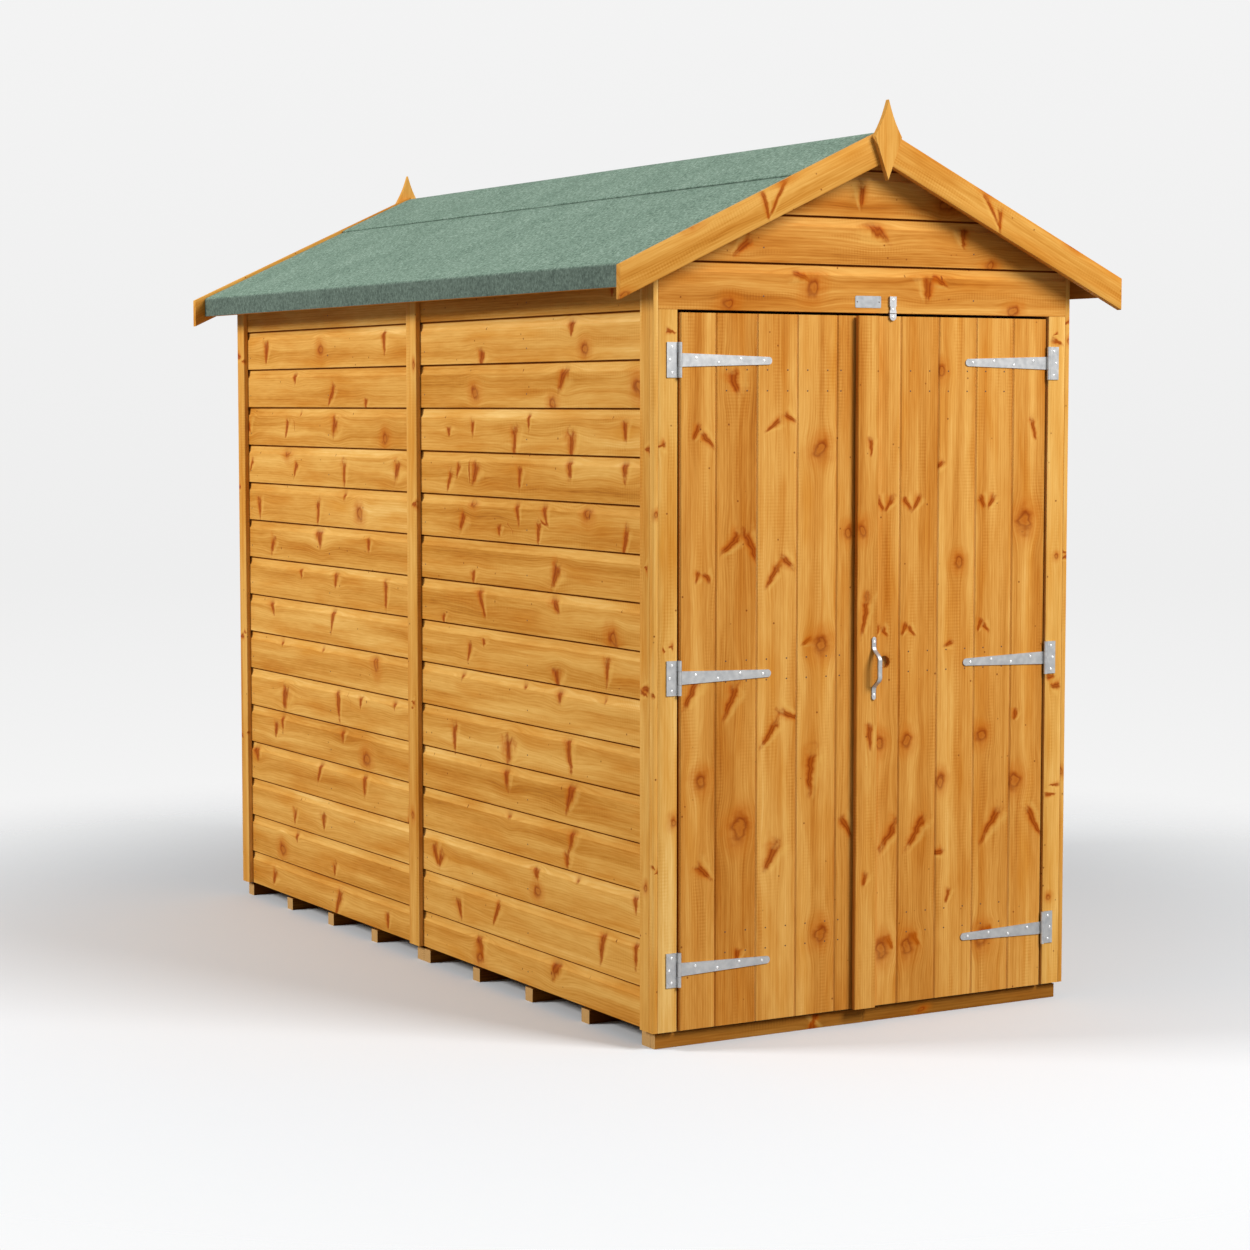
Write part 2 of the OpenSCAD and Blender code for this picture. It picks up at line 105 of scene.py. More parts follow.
def feed(tree, node, inputs):
    """Sets a node's inputs. Each socket is mapped to a value or to another node's output."""
    for key, value in inputs.items():
        if isinstance(value, bpy.types.NodeSocket):
            tree.links.new(value, node.inputs[key])
        else:
            node.inputs[key].default_value = value


def add(tree, kind, inputs=None, out=0, stops=(), **settings):
    """Adds a node, feeds it and returns one output. stops are a ramp's, from low to high: place, colour and,
    where it matters, alpha."""
    node = tree.nodes.new("ShaderNode" + kind)
    for name, value in settings.items():
        setattr(node, name, value)
    feed(tree, node, inputs or {})
    for number, (place, *colour) in enumerate(stops):
        ramp = node.color_ramp.elements
        element = ramp[number] if number < 2 else ramp.new(place)
        element.position = place
        element.color = linear(*colour)
    return node.outputs[out]


def new_material(name):
    """An empty material: itself, its node tree and its Principled shader."""
    made = bpy.data.materials.new(name)
    made.use_nodes = True
    return made, made.node_tree, made.node_tree.nodes["Principled BSDF"]


# %% [markdown]
# Helpers for meshes
# Most pieces here are rings of points, one after another: a section along a board, an outline through the
# thickness of a plate, a circle up a screw head. The faces between the rings follow from the two counts
# alone, so they're worked out once for whole arrays.


# %% Mesh helpers
def ring_faces(rings, size):
    """Quads between rings of size points: corner (i, j), its neighbour j + 1, and both on ring i + 1."""
    i, j = np.meshgrid(np.arange(rings - 1), np.arange(size), indexing="ij")
    k = (j + 1) % size
    quads = [i * size + j, i * size + k, (i + 1) * size + k, (i + 1) * size + j]
    return np.stack(quads, -1).reshape(-1, 4)


def new_mesh(name, points, faces):
    """A mesh from an array of points of any grid shape and a list of faces."""
    mesh = bpy.data.meshes.new(name)
    mesh.from_pydata(np.reshape(points, (-1, 3)).tolist(), [], faces)
    return mesh


def set_points(mesh, name, kind, values):
    """A named value for each vertex, which a material reads with an Attribute node."""
    key = "value" if kind == "FLOAT" else "vector"
    data = mesh.attributes.new(name, kind, "POINT").data
    data.foreach_set(key, np.ascontiguousarray(values, np.float32).ravel())


def set_grain(mesh, grain):
    """The grain map: a UV map in metres, with u along the grain and v across it."""
    corner = np.empty(len(mesh.loops), np.int32)
    mesh.loops.foreach_get("vertex_index", corner)
    uv = mesh.uv_layers.new(name="grain").uv
    uv.foreach_set("vector", grain[corner].astype(np.float32).ravel())


def place_piece(name, mesh, finish, body, node=None, smooth=35):
    """Shades a finished mesh, gives it its material and lets it ride on a body."""
    mesh.shade_smooth()
    mesh.set_sharp_from_angle(angle=np.radians(smooth))
    mesh.materials.append(finish)
    made = bpy.data.objects.new(name, mesh)
    scene.collection.objects.link(made)
    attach(made, body)
    if node:
        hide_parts(node)
    print(f"{name}: {len(mesh.polygons)} faces")
    return made


# %% [markdown]
# Floor, background and light
# A studio floor that fades into the background has no edge. The floor is a large disc. Near the shed it is
# matt and takes the shadow, and further out it turns clear by distance, so the background shows. To the eye
# it is pale, but it passes little light on, as a dark studio would, so that the eaves keep their shadow. The
# key light stands high to the right of the doors, so the shadow falls to the left. A second light from the
# left, a little behind the front, lights the long wall but not the doors.

# %% Stage and lights
BACKGROUND = ((0.38, "fcfcfc"), (0.47, "eeeeee"), (0.60, "f5f5f5"))
FLOOR_SEEN = "dbdee1"
FLOOR_BOUNCE = "8a8a8a"
FLOOR_R = 40.0
FLOOR_SIDES = 96
FLOOR_RINGS = 24
FLOOR_HUB = 0.01
FLOOR_NEAR = 0.5
FADE = (1.5, 3.7)
WORLD_LIGHT = 0.30

floor_r = np.concatenate([[FLOOR_HUB], np.geomspace(FLOOR_NEAR, FLOOR_R, FLOOR_RINGS)])[:, None]
turn = np.linspace(0, 2 * np.pi, FLOOR_SIDES, endpoint=False)
floor_points = np.stack(np.broadcast_arrays(floor_r * np.cos(turn), floor_r * np.sin(turn), 0.0), -1)
floor_mesh = new_mesh("studio_floor", floor_points, ring_faces(len(floor_r), FLOOR_SIDES)[:, ::-1].tolist())
studio_floor = bpy.data.objects.new("studio_floor", floor_mesh)
scene.collection.objects.link(studio_floor)


def seen_rays(tree):
    """1 for rays from the camera, from mirrors and through glass, and 0 for rays that gather soft light."""
    ray = add(tree, "LightPath").node.outputs
    seen = ray["Is Camera Ray"]
    for kind in ("Is Glossy Ray", "Is Transmission Ray"):
        seen = add(tree, "Math", {0: seen, 1: ray[kind]}, operation="MAXIMUM")
    return seen


floor_paint, tree, shader = new_material("matt_studio_floor")
tints = {0: seen_rays(tree), 6: linear(FLOOR_BOUNCE), 7: linear(FLOOR_SEEN)}
tint = add(tree, "Mix", tints, out=2, data_type="RGBA")
feed(tree, shader, {"Base Color": tint, "Roughness": 0.9, "Specular IOR Level": 0.1})
place = add(tree, "TexCoord", out="Object")
distance = add(tree, "VectorMath", {0: place}, out="Value", operation="LENGTH")
fade = {0: distance, 1: FADE[0], 2: FADE[1]}
fade = add(tree, "MapRange", fade, interpolation_type="SMOOTHSTEP")
clear = add(tree, "BsdfTransparent")
mixed = add(tree, "MixShader", {0: fade, 1: shader.outputs[0], 2: clear})
feed(tree, tree.nodes["Material Output"], {0: mixed})
floor_mesh.materials.append(floor_paint)

world = bpy.data.worlds.new("studio")
world.use_nodes = True
scene.world = world
tree = world.node_tree
soft = tree.nodes["Background"]
feed(tree, soft, {"Color": (1, 1, 1, 1), "Strength": WORLD_LIGHT})
towards = add(tree, "TexCoord", out="Object")
height = add(tree, "SeparateXYZ", {0: towards}, out=2)
height = add(tree, "MapRange", {0: height, 1: -1.0, 2: 1.0})
backdrop = add(tree, "ValToRGB", {0: height}, stops=BACKGROUND)
plain = add(tree, "Background", {"Color": backdrop})
sky = add(tree, "MixShader", {0: seen_rays(tree), 1: soft.outputs[0], 2: plain})
feed(tree, tree.nodes["World Output"], {0: sky})


def soft_box(name, towards, metres, size, watts):
    """A square lamp that many metres from the middle of the shed in the direction towards, aimed at it."""
    lamp = bpy.data.lights.new(name, "AREA")
    lamp.size = size
    lamp.energy = watts
    made = bpy.data.objects.new(name, lamp)
    direction = Vector(towards).normalized()
    made.location = (cad_box[0] + cad_box[1]) / 2 + direction * metres
    made.rotation_euler = direction.to_track_quat("Z", "Y").to_euler()
    scene.collection.objects.link(made)


soft_box("key_light", (0.36, -0.76, 0.54), metres=9.0, size=3.6, watts=770)
soft_box("left_light", (-0.86, 0.30, 0.42), metres=9.0, size=2.4, watts=640)
print("stage: floor radius", FLOOR_R, "m and two soft boxes")

# %% [markdown]
# Knots
# Branches leave a softwood trunk in rings, called whorls. A board cut through a whorl shows round knots
# where a branch points at the face, and dark wedges, called spike knots, where it runs along the face, often
# as a pair that leans two ways. A texture could scatter spots, but it would put them anywhere. Here each
# board gets its own whorls, and each vertex near a knot is told where it lies in that knot's own measure: a
# along it and b across it, in half lengths and half widths. The shader draws the knot from those two
# numbers. They run evenly over a face, so a knot is sharp on a coarse mesh.

# %% Whorls and the field round their knots
KNOT_LAYERS = ("spike_one", "spike_two", "ring_knot")
WHORL_GAP = (0.13, 0.30)
BARE_END = 0.03
KNOT_NEAR = 0.05
KNOT_FAR = 0.085
SPIKE_LEAN = (1.05, 1.75)
SPIKE_HALF_L = (0.014, 0.036)
SPIKE_HALF_W = (0.006, 0.013)
SPIKE_TAPER = 0.5
TAPER_REACH = 1.4
PAIR_SIZE = (0.5, 1.0)
PAIR_SHIFT = (-0.02, 0.03)
RING_HALF_L = (0.010, 0.019)
RING_HALF_W = (0.007, 0.012)
RING_TURN = (-0.4, 0.4)
RING_SHIFT = 3
SPIKES_BELOW, PAIRS_BELOW, RINGS_ABOVE = 0.7, 0.36, 0.66
FLOW_SHARE = 0.75
FLOW_LONG = 1.4
FLOW_MORE = 0.02
FLOW_WIDE = 3
NO_KNOTS = (np.zeros((0, 6)),) * 3


def whorl_knots(rng, run, width, bold):
    """Three lists of knots for a board that runs from run[0] to run[1] and reaches from width[0] to
    width[1]. A row is the place along and across, half length, half width, angle from the grain and taper.
    A whorl's kind says which of a spike, its pair and a round knot it shows, and bold scales them all."""
    most = int((run[1] - run[0]) * bold / WHORL_GAP[0]) + 1
    along = run[0] + np.cumsum(rng.uniform(*WHORL_GAP, most) / bold) - rng.uniform(0, WHORL_GAP[0])
    along = along[along < run[1] - BARE_END]
    count = len(along)
    across = rng.uniform(*width, count)
    lean = rng.choice([-1, 1], count) * rng.uniform(*SPIKE_LEAN, count)
    kind = rng.random(count)
    half_l = bold * rng.uniform(*SPIKE_HALF_L, count)
    half_w = bold * rng.uniform(*SPIKE_HALF_W, count)
    taper = np.full(count, SPIKE_TAPER)
    spikes = np.stack([along, across, half_l, half_w, lean, taper], -1)
    less = rng.uniform(*PAIR_SIZE, count)
    shift = rng.uniform(*PAIR_SHIFT, count)
    pairs = np.stack([along + shift, sum(width) - across, half_l * less, half_w * less, -lean, taper], -1)
    ring_l = bold * rng.uniform(*RING_HALF_L, count)
    ring_w = bold * rng.uniform(*RING_HALF_W, count)
    beside = rng.uniform(*width, count)
    turned = rng.uniform(*RING_TURN, count)
    rings = np.stack([along + RING_SHIFT * shift, beside, ring_l, ring_w, turned, 0 * taper], -1)
    return spikes[kind < SPIKES_BELOW], pairs[kind < PAIRS_BELOW], rings[kind > RINGS_ABOVE]


def knot_field(along, across, knots):
    """a and b in the nearest knot's measure, and a weight that is 1 near that knot and 0 far from it. With p
    and q along and across its axis, a = p / half length and b = q / (half width (1 + taper a))."""
    if len(knots) == 0:
        return np.zeros(along.shape + (3,))
    s0, c0, length, width, angle, taper = knots.T
    ds, dc = along[..., None] - s0, across[..., None] - c0
    nearest = np.argmin(np.hypot(ds, dc), -1)[..., None, None]
    a = (ds * np.cos(angle) + dc * np.sin(angle)) / length
    wider = 1 + taper * np.clip(a, -TAPER_REACH, TAPER_REACH)
    b = (dc * np.cos(angle) - ds * np.sin(angle)) / (width * wider)
    weight = np.clip((KNOT_FAR - np.hypot(ds, dc)) / (KNOT_FAR - KNOT_NEAR), 0, 1)
    return np.take_along_axis(np.stack([a, b, weight], -2), nearest, -1)[..., 0]


def bent_grain(along, across, knots):
    """The distance across at which a point's grain line runs far from knots. Near one the lines part and
    flow round it, so a point is drawn towards the knot's middle by a bell-shaped share of its distance."""
    drawn = across.copy()
    for s0, c0, length, width, *_ in knots:
        long = (along - s0) / (FLOW_LONG * length + FLOW_MORE)
        wide = (across - c0) / (FLOW_WIDE * width)
        drawn -= FLOW_SHARE * np.exp(-long ** 2 - wide ** 2) * (across - c0)
    return drawn


print("knots: a whorl every", WHORL_GAP, "m")

# %% [markdown]
# Boards
# Nearly everything here was sawn or planed to one section and cut to length, so one class makes it all: a
# closed section is carried along a straight run. A box with a bevel would do for a stud, but shiplap has a
# hollow and a lap, and gable boards are cut to the slope. So every point of the section may have its own
# start and end along the run.

# %% Sections and runs
RUN_STEP = 0.022
FACE_STEP = 0.015
KNOT_DEEP = 0.003
TREE_M = 40


def fine_loop(corners, step):
    """A closed outline with points added on its straight sides, so that none is longer than step."""
    corners = np.asarray(corners, float)
    ahead = np.roll(corners, -1, axis=0)
    counts = np.maximum(1, np.ceil(np.linalg.norm(ahead - corners, axis=1) / step)).astype(int)
    sides = [
        a + (b - a) * np.linspace(0, 1, n, endpoint=False)[:, None]
        for a, b, n in zip(corners, ahead, counts)
    ]
    return np.concatenate(sides)


def eased_box(c0, c1, d0, d1, ease=0.0015):
    """A rectangle whose corners are quarter circles of radius ease, with three points each."""
    turn = np.radians([0, 45, 90])
    arc = ease * (1 - np.stack([np.cos(turn), np.sin(turn)], -1))
    return np.concatenate([
        np.array([c1, d1]) - arc,
        (np.array([c0, d1]) + arc * [1, -1])[::-1],
        np.array([c0, d0]) + arc,
        (np.array([c1, d0]) + arc * [-1, 1])[::-1],
    ])


class Timber:
    """Boards that share one mesh: their points, faces, grain map, knots and tones."""

    def __init__(self, seed):
        self.rng = np.random.default_rng(seed)
        self.points, self.faces, self.grain, self.tone, self.ends = [], [], [], [], []
        self.knots = [[] for _ in KNOT_LAYERS]
        self.count = 0

    def board(self, corners, axes, starts, ends, face_d=None, bold=1.0, knots=None, tone_and_painted_light=None):
        """Carries a section along a run. With axes across, out and along, point (i, j) lies at across c_j +
        out d_j + along s_ij, and s_ij goes evenly from start j to end j. Knots show where d is near face_d,
        which is the board's seen face, and the last argument shifts the tone of points of the section: their
        own tone, and on some boards painted highlights and painted shade."""
        section = fine_loop(corners, FACE_STEP)
        c, d = section.T
        first = np.broadcast_to(starts(section) if callable(starts) else starts, c.shape)
        last = np.broadcast_to(ends(section) if callable(ends) else ends, c.shape)
        rows = int(np.ceil((last - first).max() / RUN_STEP)) + 1
        share = np.linspace(0, 1, rows)[:, None]
        run = first * (1 - share) + last * share
        across, out, along = np.array(axes, float)
        points = run[..., None] * along + c[:, None] * across + d[:, None] * out
        self.points.append(points.reshape(-1, 3))
        if knots is None:
            knots = whorl_knots(self.rng, (first.min(), last.max()), (c.min(), c.max()), bold)
        self.add_figure(run, np.broadcast_to(c, run.shape), d, face_d, knots)
        tone = self.rng.random() + np.broadcast_to(tone_and_painted_light(section) if tone_and_painted_light else 0, c.shape)
        self.tone.append(np.tile(tone, rows))

        ahead = np.roll(section, -1, axis=0)
        turning = np.sum(c * ahead[:, 1] - ahead[:, 0] * d) * np.linalg.det([across, out, along])
        order = 1 if turning > 0 else -1
        cap = np.arange(len(c))[::-order]
        self.faces += (ring_faces(rows, len(c))[:, ::order] + self.count).tolist()
        self.ends += [len(self.faces), len(self.faces) + 1]
        self.faces += [(cap + self.count).tolist(), (cap[::-1] + self.count + run.size - len(c)).tolist()]
        self.count += run.size

    def add_figure(self, run, wide, d, face_d, knots):
        """The board's grain map, moved to a random part of an endless tree, and its knots."""
        shows = 1.0 if face_d is None else np.clip(2 - np.abs(d - face_d) / KNOT_DEEP, 0, 1)
        u = run + self.rng.uniform(0, TREE_M)
        v = bent_grain(run, wide, np.concatenate(knots)) + d + self.rng.uniform(0, TREE_M)
        self.grain.append(np.stack([u, v], -1).reshape(-1, 2))
        for kept, layer in zip(self.knots, knots):
            field = knot_field(run, wide, layer)
            field[..., 2] *= shows
            kept.append(field.reshape(-1, 3))

    def piece(self, name, finish, body, node, slot, end_finish=None):
        """The mesh as a named piece on a body, standing for a node of the frame."""
        mesh = new_mesh(name, np.concatenate(self.points), self.faces)
        set_grain(mesh, np.concatenate(self.grain))
        set_points(mesh, "tone", "FLOAT", np.concatenate(self.tone))
        for layer, fields in zip(KNOT_LAYERS, self.knots):
            set_points(mesh, layer, "FLOAT_VECTOR", np.concatenate(fields))
        made = place_piece(name, mesh, finish, body, node)
        if end_finish:
            mesh.materials.append(end_finish)
            number = np.zeros(len(self.faces), np.int32)
            number[self.ends] = 1
            mesh.polygons.foreach_set("material_index", number)
        return made


# %% [markdown]
# Dip-treated softwood
# The boards are spruce or pine, planed and dipped in a tinted preservative. The dip soaks into the soft
# early wood more than into the hard late wood, so the grain shows as honey and orange bands along the board,
# with warmer patches where it went in deeper. Knots take it deepest: they turn red-brown, with a warm stain
# round them and a pale, resin-rich patch beside a spike, and specks called pin knots lie between them. The
# saw leaves fine marks across the grain. The finish dries to a satin with little shine. The patterns below
# have their sizes in millimetres, and a pair of sizes is along the grain and across it. A wave texture has
# one wave a unit when its scale is a tenth of pi.

# %% Softwood figure
ONE_WAVE = np.pi / 10
GRAIN_NOISE = ((900, 45, 0.75, 1.0), (480, 10, 0.42, 2.0), (55, 3.0, 0.30, 1.0))
TONE_SPAN = 0.16
GROWTH_LINE = 0.07
GROWTH_MM = (400, 7)
SAW_MARK = 0.09
SAW_MM = 8
SAW_ACROSS = 6
SAW_PATCH_MM = (260, 40)
SAW_FROM = (0.52, 0.7)
KNOT_ROUGH_MM = 22
KNOT_ROUGH = (1.8, 2.4, 0)
SPIKE_FADE = (1.35, 0.5)
SPIKE_WIDE = 3.2
SPIKE_ACROSS = (
    (0.0, "c46e10", 0.0), (0.20, "c0640a", 0.35), (0.31, "b05206", 0.8), (0.39, "8a3400", 0.95),
    (0.46, "a64c06", 0.9), (0.53, "903800", 0.92), (0.60, "b25c10", 0.6), (0.68, "d89844", 0.38),
    (0.80, "e8b860", 0.34), (1.0, "e4ae55", 0.0),
)
RING_WIDE = 4.0
RING_SIDE = (1.2, 0.7)
RING_OUT = (
    (0.0, "a84e08", 0.85), (0.13, "b25a0a", 0.8), (0.21, "8a3400", 0.95), (0.29, "a64e06", 0.85),
    (0.45, "bc620c", 0.5), (0.95, "c46e10", 0.0),
)
BLUSH = "f1dcb3"
BLUSH_MM = (320, 55)
BLUSH_FROM = (0.44, 0.72)
BLUSH_PLACE = (7, 3, 0)
PIN_KNOT = "74300a"
PIN_CELL_MM = 45
PIN_R_MM = 3.2
PIN_CORE = 0.4
PIN_AMOUNT = 0.85


def per_metre(along_mm, across_mm):
    """The scale of a pattern that is this long along the grain and this wide across it."""
    return 1000 / along_mm, 1000 / across_mm, 1000 / across_mm


def grain_value(tree, place, tone):
    """A value round 0.5 that is high in pale wood: three noises stretched along the grain, the board's own
    tone, growth lines and patches of saw marks."""
    value = 0.5 - (sum(row[2] for row in GRAIN_NOISE) + TONE_SPAN + GROWTH_LINE) / 2
    for *mm, weight, detail in GRAIN_NOISE:
        squeezed = add(tree, "Mapping", {"Vector": place, "Scale": per_metre(*mm)})
        noise = add(tree, "TexNoise", {"Vector": squeezed, "Scale": 1.0, "Detail": detail})
        value = add(tree, "Math", {0: noise, 1: weight, 2: value}, operation="MULTIPLY_ADD")
    fibre = value
    value = add(tree, "Math", {0: tone, 1: TONE_SPAN, 2: value}, operation="MULTIPLY_ADD")
    lines = add(tree, "Mapping", {"Vector": place, "Scale": per_metre(*GROWTH_MM)})
    lines = add(tree, "TexWave", {
        "Vector": lines, "Scale": ONE_WAVE, "Distortion": 5.0, "Detail": 1.0, "Detail Scale": 0.6,
    }, out="Fac", bands_direction="Y")
    value = add(tree, "Math", {0: lines, 1: GROWTH_LINE, 2: value}, operation="MULTIPLY_ADD")
    marks = add(tree, "Mapping", {"Vector": place, "Scale": (1000 / SAW_MM, SAW_ACROSS, SAW_ACROSS)})
    marks = {"Vector": marks, "Scale": ONE_WAVE, "Distortion": 0.5}
    marks = add(tree, "TexWave", marks, out="Fac")
    patches = add(tree, "Mapping", {"Vector": place, "Scale": per_metre(*SAW_PATCH_MM)})
    patches = add(tree, "TexNoise", {"Vector": patches, "Scale": 1.0, "Detail": 1.0})
    patches = {0: patches, 1: SAW_FROM[0], 2: SAW_FROM[1], 3: 0.0, 4: -SAW_MARK}
    patches = add(tree, "MapRange", patches)
    value = add(tree, "Math", {0: marks, 1: patches, 2: value}, operation="MULTIPLY_ADD")
    return value, fibre


def paint_knots(tree, place, colour):
    """Draws the three layers of knots and the pin knots over a colour. A spike's ramp runs across it, from
    its stain to its pale side, and fades at both tips. A round knot's ramp runs outwards. A little noise,
    with its mean taken off, makes them uneven."""
    uneven = {"Vector": place, "Scale": 1000 / KNOT_ROUGH_MM, "Detail": 3.0}
    uneven = add(tree, "TexNoise", uneven, out="Color")
    mean = tuple(-amount / 2 for amount in KNOT_ROUGH)
    for layer in KNOT_LAYERS:
        field = add(tree, "Attribute", out="Vector", attribute_name=layer)
        field = add(tree, "VectorMath", {0: field, 1: mean}, operation="ADD")
        moved = {0: uneven, 1: KNOT_ROUGH, 2: field}
        moved = add(tree, "VectorMath", moved, operation="MULTIPLY_ADD")
        a, b, weight = add(tree, "SeparateXYZ", {0: moved}).node.outputs
        if layer == "ring_knot":
            flat = add(tree, "CombineXYZ", {0: a, 1: b})
            share = add(tree, "VectorMath", {0: flat}, out="Value", operation="LENGTH")
            share = add(tree, "Math", {0: share, 1: RING_WIDE}, operation="DIVIDE")
            stain = add(tree, "ValToRGB", {0: share}, stops=RING_OUT).node.outputs
            along = {0: a, 1: -RING_SIDE[0], 2: RING_SIDE[0], 3: RING_SIDE[1], 4: 1.0}
            along = add(tree, "MapRange", along)
        else:
            share = add(tree, "MapRange", {0: b, 1: -SPIKE_WIDE, 2: SPIKE_WIDE})
            stain = add(tree, "ValToRGB", {0: share}, stops=SPIKE_ACROSS).node.outputs
            tip = add(tree, "Math", {0: a}, operation="ABSOLUTE")
            along = {0: tip, 1: SPIKE_FADE[0], 2: SPIKE_FADE[1]}
            along = add(tree, "MapRange", along, interpolation_type="SMOOTHSTEP")
        amount = add(tree, "Math", {0: along, 1: weight}, operation="MULTIPLY")
        amount = add(tree, "Math", {0: amount, 1: stain[1]}, operation="MULTIPLY")
        colour = add(tree, "Mix", {0: amount, 6: colour, 7: stain[0]}, out=2, data_type="RGBA")
    pins = add(tree, "TexVoronoi", {"Vector": place, "Scale": 1000 / PIN_CELL_MM})
    pin_r = PIN_R_MM / PIN_CELL_MM
    pins = {0: pins, 1: pin_r, 2: PIN_CORE * pin_r, 3: 0.0, 4: PIN_AMOUNT}
    pins = add(tree, "MapRange", pins)
    colour = {0: pins, 6: colour, 7: linear(PIN_KNOT)}
    return add(tree, "Mix", colour, out=2, data_type="RGBA")


# %% [markdown]
# Woods of this shed
# One function makes them all. Dressed boards read the grain map of their own piece. The frame timber inside
# keeps its CAD shape and has no such map, so its grain follows Object coordinates, turned to run the long
# way, and it has no knots. Each wood has its own ramp from dark to pale, and sawn wood is rougher.

# %% Softwood materials
WOOD_SHINE = 0.03
FIBRE_BUMP = 0.3
FIBRE_H = 0.0008
END_RING_MM = 5
END_GRAIN = ((0.0, "a8793a"), (1.0, "cfa262"))


def softwood(name, ramp, turned=None, rough=0.55):
    """Wood with its grain along the u of the grain map, or along X of Object coordinates once turned."""
    made, tree, shader = new_material(name)
    if turned is None:
        place = add(tree, "UVMap", uv_map="grain")
        tone = add(tree, "Attribute", out="Fac", attribute_name="tone")
    else:
        place = add(tree, "TexCoord", out="Object")
        place = add(tree, "Mapping", {"Vector": place, "Rotation": turned})
        tone = 0.5
    value, fibre = grain_value(tree, place, tone)
    colour = add(tree, "ValToRGB", {0: value}, stops=ramp)
    blush = {"Vector": place, "Location": BLUSH_PLACE, "Scale": per_metre(*BLUSH_MM)}
    blush = add(tree, "Mapping", blush)
    blush = add(tree, "TexNoise", {"Vector": blush, "Scale": 1.0, "Detail": 2.0})
    blush = add(tree, "MapRange", {0: blush, 1: BLUSH_FROM[0], 2: BLUSH_FROM[1]})
    colour = {0: blush, 6: colour, 7: linear(BLUSH)}
    colour = add(tree, "Mix", colour, out=2, data_type="RGBA", blend_type="MULTIPLY")
    if turned is None:
        colour = paint_knots(tree, place, colour)
    bump = add(tree, "Bump", {"Strength": FIBRE_BUMP, "Distance": FIBRE_H, "Height": fibre})
    feed(tree, shader, {
        "Base Color": colour, "Roughness": rough, "Specular IOR Level": WOOD_SHINE, "Normal": bump,
    })
    return made


HONEY = ((0.0, "90500f"), (0.3, "c0802e"), (0.5, "d39845"), (0.7, "e1ac59"), (1.0, "f3c97c"))
ORANGE = ((0.0, "894612"), (0.3, "bb772b"), (0.5, "d09040"), (0.7, "dfa654"), (1.0, "f1c478"))
# The bearers and the facing get this darker wood as a painted shade for the dark space under the shed.
BROWN_PAINTED_SHADE = ((0.0, "6b3a0e"), (0.3, "8f5a1c"), (0.5, "a56c28"), (0.7, "b57c36"), (1.0, "cd9a52"))
TAN = ((0.0, "8a5a24"), (0.3, "b07c3a"), (0.5, "c4904a"), (0.7, "d2a35c"), (1.0, "e6c07c"))
PALE = ((0.0, "8f6a3a"), (0.3, "b08a52"), (0.5, "c29c62"), (0.7, "d0ad76"), (1.0, "e4c894"))
TURNS = {"x": (0, 0, 0), "y": (0, 0, -np.pi / 2), "z": (0, np.pi / 2, 0)}
wall_wood = softwood("dipped_softwood_walls", HONEY)
door_wood = softwood("dipped_softwood_joinery", ORANGE)
bearer_wood_painted_shade = softwood("dipped_softwood_bearers_painted_shade", BROWN_PAINTED_SHADE)
floor_wood = softwood("planed_floor_boards", PALE, rough=0.62)
frame_wood = {run: softwood("sawn_frame_timber_" + run, TAN, turn, 0.7) for run, turn in TURNS.items()}

end_wood, tree, shader = new_material("sawn_end_grain")
place = add(tree, "TexCoord", out="Object")
rings = (0, 1000 / END_RING_MM, 1000 / END_RING_MM)
place = add(tree, "Mapping", {"Vector": place, "Scale": rings})
rings = {"Vector": place, "Scale": ONE_WAVE, "Distortion": 4.0}
rings = add(tree, "TexWave", rings, out="Fac", wave_type="RINGS", rings_direction="X")
ends = add(tree, "ValToRGB", {0: rings}, stops=END_GRAIN)
feed(tree, shader, {"Base Color": ends, "Roughness": 0.8})
print("woods: four dressed,", len(frame_wood), "sawn and their end grain")

# %% [markdown]
# Shiplap cladding
# Each wall board has a flat face, a hollow along its top edge and a lip that hangs over the hollow of the
# board below. Behind the lip a tongue stands up into a rebate, which keeps the wind out, and a slot of a few
# millimetres between them draws the dark line of each lap. One section, drawn from the inner face outwards,
# holds all of that. Its inner edges are eased, so the joints show inside too. The lowest board has a plain
# foot, and the highest is cut off where the roof comes down.

# %% Walls
CLAD_T = 0.012
BOARD_COVER = 0.1112
STARTER_COVER = 0.097
SCOOP_H = 0.024
SCOOP_D = 0.0056
TONGUE_T = 0.0036
TONGUE_H = 0.0075
LAP_SLOT = 0.0034
INNER_EASE = 0.0014
LIP_EASE = 0.0008
ARRIS = ((-0.002, 0.0), (-0.0007, -0.0002))
LAP_NEAR = 0.0005
TINY = 1e-6
# A painted highlight in the hollow of each board, and a painted shade in the slot and under the lip.
HOLLOW_PAINTED_HIGHLIGHT = 0.9
LAP_PAINTED_SHADE = -3.5
GABLE_TONE = 0.15
FIT = 0.0006
PITCH = np.radians(24.87)
ROOF_T = 0.012

roof_low, roof_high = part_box("roof_panel_right")
ridge_top = roof_high.z
frame_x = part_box("right_wall_front")[0].x
skirt_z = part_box("right_wall_front")[0].z


def roof_under(x):
    """Height of what meets the underside of the roof boards at a distance x from the ridge."""
    return ridge_top - ROOF_T / np.cos(PITCH) - np.tan(PITCH) * np.abs(x) - FIT


